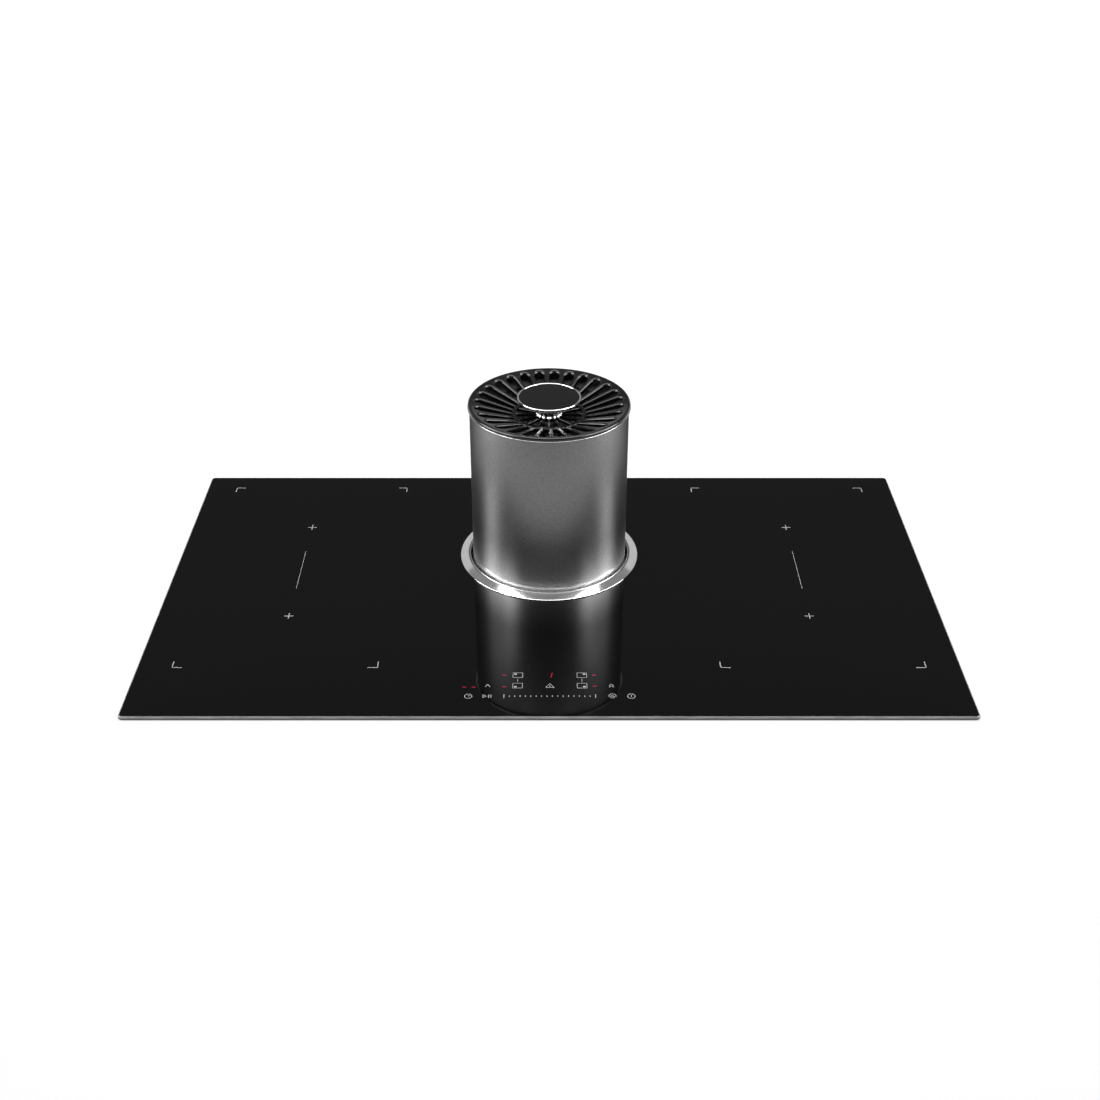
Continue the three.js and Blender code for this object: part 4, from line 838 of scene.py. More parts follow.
grille = {
    "slots": 28,
    "firstTurn": math.radians(90 - 4.5),
    "rim": 94.2 * mm,
    "rimRound": 2.6 * mm,
    "slotEnd": 88.3 * mm,
    "shoulder": 80.3 * mm,
    "ring": 42.0 * mm,
    "ringInner": 38.6 * mm,
    "ribOuter": 3.6 * mm,
    "ribInner": 2.0 * mm,
    "drop": 14.0 * mm,
    "slope": 0.2843,
    "dishWidth": 0.0489,
    "thickness": 6.0 * mm,
    "lip": 4.2 * mm,
    "bevel": 1.55 * mm,
    "edge": 0.5 * mm,
    "sideSteps": 10,
    "endSteps": 9,
    "rimTurns": (-15.9, 0, 18, 36, 54, 72, 90),
    "ringFoot": 0.7,
    "seamPoint": 9,
}
grille["dishEnd"] = grille["ring"] + (grille["drop"] - 0.1 * mm) / grille["slope"]
capCentre = towerAxis + Vector((0, 0, capHigh.z))


def grilleTop(radius):  # height of the dish below the rim's crest
    reach = max(radius, grille["ring"]) - grille["ring"]
    return -grille["drop"] + grille["slope"] * min(reach, grille["dishWidth"])


def grilleUnder(radius):  # the ribs' underside, which meets the rim's lip at the slots' ends
    share = (radius - grille["shoulder"]) / (grille["slotEnd"] - grille["shoulder"])
    share = min(1.0, max(0.0, share))
    return (1 - share) * (grilleTop(radius) - grille["thickness"]) - share * grille["lip"]


def polar(radius, angle):
    return Vector((radius * math.cos(angle), radius * math.sin(angle)))


def slotSide(share):  # half the slot's width and its distance out, from the inner end to the shoulder
    half = math.pi / grille["slots"]
    x = grille["ring"] + (grille["shoulder"] - grille["ring"]) * share
    rib = grille["ribInner"] + (grille["ribOuter"] - grille["ribInner"]) * share
    return Vector((x, x * math.sin(half) - rib / 2))


def slotOutline():  # half of the slot's top edge, each point with its place on the seam and its kind
    half = math.pi / grille["slots"]
    rows = []
    start = slotSide(0)
    for share in (0.0, 0.5, 1.0):
        rows.append((Vector((start.x, start.y * share)), polar(grille["ringInner"], half * share), "inner"))
    for i in range(1, grille["sideSteps"] + 1):
        point = slotSide(i / grille["sideSteps"])
        rows.append((point, polar(point.x / math.cos(half), half), "side"))
    shoulder = slotSide(1)
    reach = shoulder.x / math.cos(half)
    crest = grille["dishEnd"] - 0.25 * mm
    count = grille["endSteps"]
    for i in range(1, count + 1):
        angle = math.pi / 2 * (1 - i / count)
        x = shoulder.x + (grille["slotEnd"] - shoulder.x) * math.cos(angle)
        if i < 5:
            target, kind = polar(reach + (crest - reach) * i / 4, half), "corner" if i == 4 else "side"
        else:
            target, kind = polar(crest, half * (count - i) / (count - 4)), "rim"
        rows.append((Vector((x, shoulder.y * math.sin(angle))), target, kind))
    return rows


def wholeSlot():  # both halves, running once round the slot
    rows = slotOutline()
    flip = [(Vector((p.x, -p.y)), Vector((q.x, -q.y)), kind) for p, q, kind in rows[1:-1]]
    return rows + list(reversed(flip))


def grilleColumn(work, point, outward, goal, kind):  # one cut from the hole's foot over the bevel to the seam
    room = min(1.0, (goal - point).length / (1.0 * mm))
    share = (point.length - grille["ring"]) / (grille["slotEnd"] - grille["ring"])
    width = grille["bevel"] * (0.6 + 0.4 * share)
    depth = width * 1.05
    edge = grille["edge"]
    steps = [(-width, -depth - 2.2 * edge), (-width, -depth - edge),
             (-width + 0.18 * edge, -depth - 0.1 * edge), (-width + 0.7 * edge, -depth + 0.7 * edge),
             (-0.7 * edge, -0.7 * edge), (0.08 * edge, -0.18 * edge),
             (edge * room, 0.0), (2.2 * edge * room, 0.0)]
    foot = point - outward * width
    column = [work.verts.new((foot.x, foot.y, grilleUnder(foot.length)))]
    for offset, fall in steps:
        at = point + outward * offset
        column.append(work.verts.new((at.x, at.y, grilleTop(at.length) + fall)))
    column.append(work.verts.new((goal.x, goal.y, grilleTop(goal.length))))
    if kind in ("rim", "corner"):
        radius = grille["rimRound"]
        for turn in grille["rimTurns"]:
            lean = math.radians(turn)
            at = goal.normalized() * (grille["rim"] - radius + radius * math.sin(lean))
            column.append(work.verts.new((at.x, at.y, -radius + radius * math.cos(lean))))
        column.append(work.verts.new((at.x, at.y, -grille["lip"])))
        column.append(work.verts.new((goal.x, goal.y, -grille["lip"])))
    elif kind == "inner":
        under = -grille["drop"] - grille["thickness"] * grille["ringFoot"]
        column.append(work.verts.new((goal.x, goal.y, under)))
    else:
        column.append(work.verts.new((goal.x, goal.y, grilleUnder(goal.length))))
    return column


def joinColumns(work, columns):
    seam = grille["seamPoint"]
    for i, (first, firstKind) in enumerate(columns):
        second, secondKind = columns[(i + 1) % len(columns)]
        for k in range(seam):
            work.faces.new((first[k], second[k], second[k + 1], first[k + 1]))
        if all(kind in ("rim", "corner") for kind in (firstKind, secondKind)):
            for k in range(seam, len(first) - 1):
                work.faces.new((first[k], second[k], second[k + 1], first[k + 1]))
        elif firstKind == "inner" and secondKind == "inner":
            work.faces.new((first[seam], second[seam], second[-1], first[-1]))
        work.faces.new((first[0], first[-1], second[-1], second[0]))


def buildGrilleCap():
    rows = wholeSlot()
    work = bmesh.new()
    columns = []
    for i, (point, goal, kind) in enumerate(rows):
        along = (rows[(i + 1) % len(rows)][0] - rows[i - 1][0]).normalized()
        outward = Vector((-along.y, along.x))
        columns.append((grilleColumn(work, point, outward, goal, kind), kind))
    joinColumns(work, columns)
    cap = finishPiece(work, "grilleCap", ["gloss_black"], 60)
    values = {"Count": grille["slots"], "First Turn": grille["firstTurn"]}
    repeatPiece(cap, ringOfCopies, "gloss_black", values, capCentre, 32)
    hold(cap, "filter_unit", "gloss_black", "top_grille")


capSides = 168
capSkirt = {"outer": 91.0 * mm, "inner": 88.3 * mm, "height": 12 * mm, "lead": 0.4 * mm}
capTrim = [(92.9, 0.05), (94.1, 0.05), (94.4, 0.15), (94.6, 0.35), (94.55, 0.57), (94.35, 0.75), (94.0, 0.85),
           (92.9, 0.85)]


def buildCapSkirt():  # the spigot that drops into the tower
    top = capHigh.z - grille["lip"] + 0.1 * mm
    low = capHigh.z - capSkirt["height"]
    outer = capSkirt["outer"]
    inner = capSkirt["inner"]
    lead = capSkirt["lead"]
    outline = [(inner, low), (outer - lead, low), (outer, low + lead), (outer, top), (inner, top)]
    hold(turned("capSkirt", outline, "gloss_black", capSides, closed=True), "filter_unit", "gloss_black")


def buildCapTrim():  # a thin bright bead under the cap's edge
    outline = offsets(0, towerHigh.z, capTrim)
    trim = turned("capTrim", outline, "bright_steel", capSides, closed=True, degrees=50)
    hold(trim, "filter_unit", "bright_steel")


spokeSizes = {"count": 16, "from": 13.0 * mm, "to": 39.2 * mm, "width": 2.8 * mm, "height": 4.0 * mm,
              "drop": 15 * mm}


def buildSpokes():
    sizes = spokeSizes
    work = bmesh.new()
    half = sizes["width"] / 2
    turns = [math.radians(a) for a in range(0, 181, 20)]
    crown = [(half * math.cos(a), half * (math.sin(a) - 1)) for a in turns]
    section = [(-half, -sizes["height"]), (half, -sizes["height"])] + crown
    ends = []
    for x in (sizes["from"], sizes["to"]):
        ends.append([work.verts.new((x, y, z - sizes["drop"])) for y, z in section])
    closeBar(work, ends)
    spokes = finishPiece(work, "capSpokes", ["gloss_black"])
    values = {"Count": sizes["count"], "First Turn": 0.0}
    repeatPiece(spokes, ringOfCopies, "gloss_black", values, capCentre)
    hold(spokes, "filter_unit", "gloss_black")


hubOutline = [(0, -4), (14.6, -4), (15, -3.6), (15, -0.5), (14.5, 0), (0, 0)]


def buildHub():
    top = capHigh.z - spokeSizes["drop"] - 0.6 * mm
    hold(turned("capHub", offsets(0, top, hubOutline), "gloss_black", 64), "filter_unit", "gloss_black")


buildGrilleCap()
buildCapSkirt()
buildCapTrim()
buildSpokes()
buildHub()
print("cap grille built")


# Disc over the cap's middle

discSizes = {
    "sides": 160,
    "radius": 37 * mm,
    "bead": 0.95 * mm,
    "rimHeight": 3.5 * mm,
    "floor": 1.2 * mm,
    "underEdge": [(-1.0, 0), (-0.4, 0.2), (-0.1, 0.6)],
    "insertEdge": [(0, -0.4), (-0.15, -0.12), (-0.5, 0), (-0.8, 0)],
    "flutes": 16,
    "flute": 0.7 * mm,
    # Radius, height and depth of flute, up the stem
    "stem": [(0.0, -0.6, 0), (14.8, -0.6, 1), (15.0, 0.0, 1), (14.8, 0.3, 1), (14.4, 0.6, 1),
             (14.1, 1.1, 0.9), (13.7, 2.2, 0.8), (13.3, 5.0, 0.5), (13.1, 10.0, 0.1), (13.1, 15.0, 0)],
    "stemTop": 14.4,
}


def buildDiscDish():
    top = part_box("disc_dish")[1].z
    under = top - discSizes["rimHeight"]
    floor = under + discSizes["floor"]
    radius = discSizes["radius"]
    bead = discSizes["bead"]
    outline = [(0, under)] + offsets(radius, under, discSizes["underEdge"])
    outline += arc((radius - bead, top - bead), bead, 0, 180, 10)
    outline += [(radius - 2 * bead, floor), (0, floor)]
    dish = turned("discDish", outline, "polished_steel", discSizes["sides"], degrees=40)
    hold(dish, "filter_unit", "polished_steel", "disc_dish")


def buildFlutedStem():
    low = capHigh.z - spokeSizes["drop"] + 0.05 * mm
    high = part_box("disc_dish")[1].z - discSizes["rimHeight"]
    count = discSizes["flutes"]
    work = bmesh.new()
    top = (high - low) / mm
    rings = []
    for radius, height, share in discSizes["stem"] + [(discSizes["stemTop"], top, 0), (0.0, top, 0)]:
        def wave(angle, share=share):
            return discSizes["flute"] * share * math.cos(count * angle)
        rings.append(addRing(work, radius * mm, low + height * mm, count * 8, towerAxis, wave))
    bridgeAll(work, rings)
    hold(finishPiece(work, "flutedStem", ["polished_steel"], 50), "filter_unit", "polished_steel")


def buildDiscInsert():
    low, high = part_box("disc_insert")
    outline = [(0, low.z), (high.x, low.z)] + offsets(high.x, high.z, discSizes["insertEdge"]) + [(0, high.z)]
    insert = turned("discInsert", outline, "gloss_black", discSizes["sides"], degrees=50)
    hold(insert, "filter_unit", "gloss_black", "disc_insert")


buildDiscDish()
buildFlutedStem()
buildDiscInsert()
print("disc built")


# Pieces under the glass

softEdges = {
    "towerFoot": ("tower_foot", "tower", 0.5 * mm),
    "wellTube": ("well_tube", "hob", 0.3 * mm),
    "wellFloor": ("well_floor", "hob", 0.6 * mm),
    "liftGearbox": ("lift_gearbox", "hob", 1.2 * mm),
    "basePlate": ("base_plate", "hob", 0.4 * mm),
    "sidePanelLeft": ("side_panel_left", "hob", 0.3 * mm),
    "sidePanelRight": ("side_panel_right", "hob", 0.3 * mm),
    "blowerScroll": ("blower_scroll", "hob", 0.7 * mm),
    "outletDuct": ("outlet_duct", "hob", 0.7 * mm),
    "housingTray": ("housing_tray", "hob", 0.3 * mm),
    "terminalBox": ("terminal_box", "hob", 0.8 * mm),
    "cableGland": ("cable_gland", "hob", 0.4 * mm),
    "clipLeftFront": ("worktop_clip_left_front", "hob", 0.25 * mm),
    "clipLeftRear": ("worktop_clip_left_rear", "hob", 0.25 * mm),
    "clipRightFront": ("worktop_clip_right_front", "hob", 0.25 * mm),
    "clipRightRear": ("worktop_clip_right_rear", "hob", 0.25 * mm),
    "outletFlap": ("outlet_flap", "flap", 0.3 * mm),
    "dripTray": ("drip_tray", "drip_tray", 0.5 * mm),
}
softBevel = {"flat": 0.5, "corner": 40, "segments": 2}  # flat and corner in degrees
slotOfNode = {row["node"]: row["material_slot"] for row in frame["record"]["subparts"]}


def softCopy(name, node, body, width):  # the solid's own shape with smooth curves and rounded edges
    work = bmesh.new()
    work.from_mesh(frame["nodes"][node].data)
    bmesh.ops.remove_doubles(work, verts=work.verts, dist=joinDistance)
    flat = math.radians(softBevel["flat"])
    bmesh.ops.dissolve_limit(work, angle_limit=flat, verts=work.verts, edges=work.edges)
    slot = slotOfNode[node]
    piece = finishPiece(work, name, [slot])
    bevel = piece.modifiers.new("softEdge", "BEVEL")
    bevel.limit_method = "ANGLE"
    bevel.angle_limit = math.radians(softBevel["corner"])
    bevel.width = width
    bevel.segments = softBevel["segments"]
    bevel.harden_normals = True
    hold(piece, body, slot, node)


def layAlongX(piece, place):  # turns a piece built upright at the origin to lie along x
    piece.data.transform(Matrix.Translation(place) @ Matrix.Rotation(math.radians(90), 4, "Y"))


screw = {"head": 3.4 * mm, "height": 1.7 * mm, "socket": 1.6 * mm, "depth": 1.1 * mm, "sunk": 0.3 * mm,
         "dome": ((1, 0.5), (0.93, 1.1), (0.72, 1.7))}
facing = {"front": ("X", 90), "back": ("X", -90), "right": ("Y", 90), "left": ("Y", -90)}
screwRows = {
    "trayScrewsFront": ("front", (-380, -243, 241), (190, 0, 0), 5),
    "trayScrewsRear": ("back", (-380, 243, 241), (190, 0, 0), 5),
    "trayScrewsLeft": ("left", (-428, -206, 241), (0, 412, 0), 2),
    "trayScrewsRight": ("right", (428, -206, 241), (0, 412, 0), 2),
    "panelScrewsLeftLow": ("left", (-232, -34, 13), (0, 109, 0), 3),
    "panelScrewsLeftHigh": ("left", (-232, -34, 213), (0, 109, 0), 3),
    "panelScrewsRightLow": ("right", (262, -34, 13), (0, 109, 0), 3),
    "panelScrewsRightHigh": ("right", (262, -34, 213), (0, 109, 0), 3),
    "boxScrews": ("back", (308, 239, 198), (64, 0, 0), 2),
}


def buildScrewRow(name, side, start, step, count):
    work = bmesh.new()
    origin = Vector()
    foot = -screw["sunk"]
    floor = screw["height"] - screw["depth"]
    rings = [addRing(work, radius, foot, 12, origin) for radius in (0, screw["head"])]
    for share, height in screw["dome"]:
        rings.append(addRing(work, screw["head"] * share, height * mm, 12, origin))
    for height in (screw["height"], floor):
        ring = []
        for i in range(12):
            angle = math.radians(30 * i)
            reach = screw["socket"] / (1 if i % 2 else math.cos(math.radians(30)))
            ring.append(work.verts.new((reach * math.cos(angle), reach * math.sin(angle), height)))
        rings.append(ring)
    rings.append(addRing(work, 0, floor, 12, origin))
    bridgeAll(work, rings)
    row = finishPiece(work, name, ["bright_steel"], 40)
    axis, angle = facing[side]
    row.data.transform(Matrix.Rotation(math.radians(angle), 4, axis))
    values = {"Count": count, "Step": Vector(step) * mm}
    repeatPiece(row, rowOfCopies, "bright_steel", values, Vector(start) * mm, 40)
    hold(row, "hob", "bright_steel")


wellSizes = {"radius": 102 * mm, "sunk": 0.2 * mm, "bead": 1.1 * mm, "beadWidth": 5 * mm, "beadSteps": 8,
             "beads": (58 * mm, 234 * mm), "seam": 9 * mm, "seamTurn": 128.0, "seamProud": 0.9 * mm,
             "seamEnds": (41 * mm, 282 * mm), "sides": 128}


def buildWellBeads():  # rolled stiffening beads and the lock seam of the rolled tube
    work = bmesh.new()
    sizes = wellSizes
    radius = sizes["radius"] - sizes["sunk"]
    for middle in sizes["beads"]:
        rings = []
        for i in range(sizes["beadSteps"] + 1):
            angle = math.pi * i / sizes["beadSteps"]
            reach = radius + (sizes["bead"] + sizes["sunk"]) * math.sin(angle)
            height = middle - sizes["beadWidth"] / 2 * math.cos(angle)
            rings.append(addRing(work, reach, height, sizes["sides"], towerAxis))
        bridgeAll(work, rings + rings[:1])
    half = math.degrees(sizes["seam"] / radius / 2)
    proud = sizes["seamProud"]
    ends = []
    for z in sizes["seamEnds"]:
        end = []
        for turn, rise in ((half, 0), (half * 0.9, proud), (-half * 0.9, proud), (-half, 0)):
            at = polar(radius + rise, math.radians(sizes["seamTurn"] + turn))
            end.append(work.verts.new((towerAxis.x + at.x, towerAxis.y + at.y, z)))
        ends.append(end)
    closeBar(work, ends)
    hold(finishPiece(work, "wellBeads", ["zinc_sheet"], 40), "hob", "zinc_sheet")


blowerMotor = {
    "front": [(0, 3), (-0.4, 3.4), (-1, 3.5)],
    "back": [(-1, -9), (-1.6, -6.5), (-4, -4), (-9, -2.6)],
    "boss": [(13, -2.2), (12.4, -0.4), (12, 0), (5, 0), (4.6, -1.6), (0, -1.6)],
    "ribs": 40,
    "ribWidth": 1.8 * mm,
    "ribFoot": 1.4 * mm,
    "ribCrest": 0.15 * mm,
    "ribEnds": (6 * mm, 27 * mm),
}
liftMotor = {
    "front": [(-1.4, 2), (0, 3.4), (0, 10), (-0.7, 10.5)],
    "back": [(-0.7, -13), (0, -12.4), (0, 0)],
}


def motorSizes(node):  # radius, length and the middle of the near end
    low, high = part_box(node)
    middle = Vector((low.x, (low.y + high.y) / 2, (low.z + high.z) / 2))
    return (high.z - low.z) / 2, high.x - low.x, middle


def buildBlowerMotor():
    radius, length, place = motorSizes("blower_motor")
    outline = [(0, 0), (radius, 0)] + offsets(radius, 0, blowerMotor["front"])
    outline += offsets(radius, length, blowerMotor["back"]) + offsets(0, length, blowerMotor["boss"])
    can = turned("blowerMotor", outline, "motor_shell", 96, Vector())
    layAlongX(can, place)
    work = bmesh.new()
    half = blowerMotor["ribWidth"] / 2
    foot = radius - blowerMotor["ribFoot"]
    crest = radius - blowerMotor["ribCrest"]
    section = ((foot, -half), (crest, -half * 0.6), (crest, half * 0.6), (foot, half))
    closeBar(work, [[work.verts.new((x, y, z)) for x, y in section] for z in blowerMotor["ribEnds"]])
    ribs = finishPiece(work, "motorRibs", ["motor_shell"])
    values = {"Count": blowerMotor["ribs"], "First Turn": 0.0}
    repeatPiece(ribs, ringOfCopies, "motor_shell", values, Vector())
    layAlongX(ribs, place)
    hold(can, "hob", "motor_shell", "blower_motor")
    hold(ribs, "hob", "motor_shell")


def buildLiftMotor():
    radius, length, place = motorSizes("lift_motor")
    outline = [(0, 0), (4 * mm, 0), (4 * mm, 2 * mm)] + offsets(radius, 0, liftMotor["front"])
    outline += offsets(radius, length, liftMotor["back"]) + [(0, length)]
    motor = turned("liftMotor", outline, "motor_shell", 64, Vector())
    layAlongX(motor, place)
    hold(motor, "hob", "motor_shell", "lift_motor")


def roundBar(node, collar=0):  # the place of a bar and its radius without the collar
    low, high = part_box(node)
    centre = Vector(((low.x + high.x) / 2, (low.y + high.y) / 2, 0))
    return centre, (high.x - low.x) / 2 - collar, low.z, high.z


rodEase = 0.6 * mm


def buildGuideRod():
    centre, radius, low, high = roundBar("guide_rod")
    outline = [(0, low), (radius - rodEase, low), (radius, low + rodEase), (radius, high - rodEase),
               (radius - rodEase, high), (0, high)]
    hold(turned("guideRod", outline, "bright_steel", 48, centre), "hob", "bright_steel", "guide_rod")


spindleSizes = {"collar": 2 * mm, "collarHeight": 1.5 * mm, "plain": 22.8 * mm, "runOut": 2 * mm,
                "tip": 1.2 * mm, "pitch": 5 * mm, "starts": 2, "thread": 0.8 * mm, "steps": 32}


def buildSpindle():  # a lead screw with a rounded left-hand thread of 10 mm lead above its collar
    sizes = spindleSizes
    centre, radius, low, high = roundBar("lift_spindle", sizes["collar"])
    collar = low + sizes["plain"]
    under = collar - sizes["collarHeight"]
    wide = radius + sizes["collar"]
    outline = [(0, low), (radius, low), (radius, under), (wide, under), (wide, collar), (radius, collar)]
    work = bmesh.new()
    rings = [addRing(work, r, z, sizes["steps"], centre) for r, z in outline]
    z = collar + sizes["runOut"]
    while z < high - 1 * mm:
        def wave(angle, z=z):
            place = z / sizes["pitch"] + sizes["starts"] * angle / (2 * math.pi)
            return -sizes["thread"] * (0.5 + 0.5 * math.cos(2 * math.pi * place)) ** 0.6
        rings.append(addRing(work, radius, z, sizes["steps"], centre, wave))
        z += sizes["pitch"] / 6
    for r in (radius - sizes["tip"], 0):
        rings.append(addRing(work, r, high, sizes["steps"], centre))
    bridgeAll(work, rings)
    hold(finishPiece(work, "liftSpindle", ["bright_steel"], 50), "spindle", "bright_steel", "lift_spindle")


basketSizes = {
    "radius": 75 * mm,
    "wall": 0.9 * mm,
    "columns": 72,
    "rows": 12,
    "hole": 2.3 * mm,
    "band": 6.5 * mm,
    "flange": 1.0 * mm,
    "outerCorner": [(-1.2, 0), (-0.3, 0.4), (0, 1.2)],
    "innerCorner": [(0, 1.4), (-0.6, 1)],
    "flangeFoot": [(-0.3, 0), (0, 0.3)],
    "flangeTop": [(0, -0.3), (-0.3, 0)],
    "mouth": [(0.8, 0), (0, -0.8)],
}


def buildBasketFloor(low, radius, inner, top):
    outline = [(0, low)] + offsets(radius, low, basketSizes["outerCorner"]) + [(radius, top), (inner, top)]
    outline += offsets(inner, low, basketSizes["innerCorner"]) + [(0, low + 1 * mm)]
    floor = turned("basketFloor", outline, "filter_steel", basketSizes["columns"] * 2)
    hold(floor, "filter_unit", "filter_steel", "filter_basket")


def buildBasketRim(low, high, radius, inner, reach):
    deck = high - basketSizes["flange"]
    outline = [(inner, low), (radius, low), (radius, deck - 1 * mm), (radius + 1 * mm, deck)]
    outline += offsets(reach, deck, basketSizes["flangeFoot"])
    outline += offsets(reach, high, basketSizes["flangeTop"]) + offsets(inner, high, basketSizes["mouth"])
    # Painted shade: the flange takes the near-black rubber finish so that it reads black deep inside the
    # cap's slots, standing in for the shade it sits in
    rim = turned("basketRim", outline, "black_rubber", basketSizes["columns"] * 2, closed=True)
    hold(rim, "filter_unit", "black_rubber")


def buildBasketSieve(bottom, top, radius, inner):  # one column of holes, repeated round the axis
    work = bmesh.new()
    hole = basketSizes["hole"]
    width = 2 * math.pi / basketSizes["columns"]
    height = (top - bottom) / basketSizes["rows"]
    for row in range(basketSizes["rows"]):
        middle = bottom + height * (row + 0.5)
        walls = []
        for depth in (radius, inner):
            frameRing, holeRing = [], []
            for i in range(8):
                x, y = polar(1, math.radians(45 * i))
                stretch = 1 / max(abs(x), abs(y))
                for ring, across, up in ((frameRing, x * stretch * width / 2, y * stretch * height / 2),
                                         (holeRing, x * hole / radius, y * hole)):
                    at = (depth * math.cos(across), depth * math.sin(across), middle + up)
                    ring.append(work.verts.new(at))
            bridge(work, frameRing, holeRing)
            walls.append(holeRing)
        bridgeAll(work, walls)
    sieve = finishPiece(work, "basketSieve", ["filter_steel"])
    repeatPiece(sieve, ringOfCopies, "filter_steel", {"Count": basketSizes["columns"], "First Turn": 0.0})
    hold(sieve, "filter_unit", "filter_steel")


def buildBasket():
    low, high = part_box("filter_basket")
    radius = basketSizes["radius"]
    inner = radius - basketSizes["wall"]
    bottom = low.z + basketSizes["band"]
    top = high.z - basketSizes["band"]
    buildBasketFloor(low.z, radius, inner, bottom)
    buildBasketRim(top, high.z, radius, inner, high.x)
    buildBasketSieve(bottom, top, radius, inner)


for softName, softSetup in softEdges.items():
    softCopy(softName, *softSetup)
for screwName, screwSetup in screwRows.items():
    buildScrewRow(screwName, *screwSetup)
buildWellBeads()
buildBlowerMotor()
buildLiftMotor()
buildGuideRod()
buildSpindle()
buildBasket()
print("underside built")


# Worktop, floor, surround and lamps

def seenDirectly(tree):  # 1 for what the camera sees, also in a mirror or through glass
    path = addNode(tree, "ShaderNodeLightPath").outputs
    seen = calculate(tree, "ADD", path["Is Camera Ray"], path["Is Glossy Ray"])
    return calculate(tree, "ADD", seen, path["Is Transmission Ray"], True)


def emptyMaterial(name):
    material = bpy.data.materials.new(name)
    material.use_nodes = True
    material.node_tree.nodes.clear()
    return material, material.node_tree


def addGlow(tree, strength, kind="ShaderNodeEmission"):
    return addNode(tree, kind, {"Color": (1, 1, 1, 1), "Strength": strength}).outputs[0]


groundFade = {"near": 1.0, "far": 2.6}


def groundFinish(name, color, glow):  # white far off, and near the object dim enough to hold its shadow
    material, tree = emptyMaterial(name)
    seen = seenDirectly(tree)
    reach = addNode(tree, "ShaderNodeVectorMath", {0: objectPlace(tree)}, operation="LENGTH").outputs["Value"]
    glowNow = rescale(tree, reach, glow, 1.0, groundFade["near"], groundFade["far"])
    light = addGlow(tree, multiply(tree, seen, glowNow))
    matt = addNode(tree, "ShaderNodeBsdfDiffuse", {"Color": color})
    both = addNode(tree, "ShaderNodeAddShader", {0: light, 1: matt.outputs[0]})
    addNode(tree, "ShaderNodeOutputMaterial", {"Surface": both.outputs[0]})
    return material


worktop = {"halfWidth": 0.56, "front": -0.80, "back": 0.36, "thickness": 0.03, "cutWidth": 0.88,
           "cutDepth": 0.49, "color": tone(170), "glow": 0.69}
floorSizes = {"halfWidth": 7.0, "height": -0.0005, "color": tone(186), "glow": 0.74}


def buildWorktop():
    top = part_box("seal_tape")[0].z - 0.02 * mm
    half, back, front = worktop["halfWidth"], worktop["back"], worktop["front"]
    outer = [(half, back), (-half, back), (-half, front), (half, front)]
    hole = roundedOutline(worktop["cutWidth"], worktop["cutDepth"], 5 * mm, 4)
    work = bmesh.new()
    levels = []
    for z in (top, top - worktop["thickness"]):
        levels.append([[work.verts.new((x, y, z)) for x, y in outline] for outline in (outer, hole)])
    for above, below in zip(*levels):
        bridge(work, above, below)
    for level in levels:
        edges = [loopEdge(work, loop, i) for loop in level for i in range(len(loop))]
        bmesh.ops.triangle_fill(work, edges=edges, use_beauty=True)
    slab = finishPiece(work, "worktop", [groundFinish("paleWorktop", worktop["color"], worktop["glow"])])


def buildFloor():
    work = bmesh.new()
    size = floorSizes["halfWidth"]
    corners = ((-1, -1), (1, -1), (1, 1), (-1, 1))
    work.faces.new([work.verts.new((x * size, y * size, floorSizes["height"])) for x, y in corners])
    floor = finishPiece(work, "floor", [groundFinish("paleFloor", floorSizes["color"], floorSizes["glow"])])


# Tones of the cloth: its height, its bands' elevation and azimuth in degrees, and how softly each one ends
surround = {
    "radius": 3.4,
    "from": -2.0,
    "rows": 24,
    "sides": 96,
    "front": (0.04, 0.05),
    "back": (0.088, 0.128),
    "heights": (1.3, 2.3),
    "depths": (-2.0, 2.0),
    "soft": 0.8,
    "low": {"glow": 0.52, "elevation": 22.5, "rise": 1.2, "azimuth": (22.5, 50.0), "top": 35.5, "fade": 12},
    "skirt": {"glow": 0.9, "elevation": 5.0, "azimuth": 75.0, "fade": (2, 15)},
    "upper": {"glow": 0.23, "elevation": 43.0, "sideElevation": 35.5, "azimuth": 33.0, "fade": (1, 2)},
}
perRadian = 57.3


def softStep(tree, value, low, high):  # 0 below low, 1 above high
    inputs = {"Value": value, "From Min": low, "From Max": high, "To Min": 0.0, "To Max": 1.0}
    node = addNode(tree, "ShaderNodeMapRange", inputs, interpolation_type="SMOOTHSTEP")
    return node.outputs["Result"]


def addBaseTone(tree, y, z):  # dark in front, a little paler behind
    behind = rescale(tree, z, *surround["back"], *surround["heights"])
    before = rescale(tree, z, *surround["front"], *surround["heights"])
    share = softStep(tree, y, *surround["depths"])
    rest = calculate(tree, "SUBTRACT", 1.0, share)
    return calculate(tree, "ADD", multiply(tree, behind, share), multiply(tree, before, rest))


def addLowBand(tree, elevation, azimuth):  # the band low down, whose top rises to the sides
    band = surround["low"]
    first, last = band["azimuth"]
    beyond = calculate(tree, "MAXIMUM", calculate(tree, "SUBTRACT", azimuth, first), 0.0)
    limit = calculate(tree, "ADD", multiply(tree, beyond, band["rise"]), band["elevation"])
    limit = calculate(tree, "MINIMUM", limit, band["top"])
    below = softStep(tree, calculate(tree, "SUBTRACT", limit, elevation), -surround["soft"], surround["soft"])
    return multiply(tree, below, softStep(tree, azimuth, last + band["fade"], last))


def addUpperBand(tree, elevation, azimuth):
    band = surround["upper"]
    up, turn = band["fade"]
    soft = surround["soft"]
    above = softStep(tree, elevation, band["elevation"] - up, band["elevation"] + up)
    aside = softStep(tree, azimuth, band["azimuth"], band["azimuth"] + turn)
    side = softStep(tree, elevation, band["sideElevation"] - soft, band["sideElevation"] + soft)
    return calculate(tree, "MAXIMUM", above, multiply(tree, aside, side))


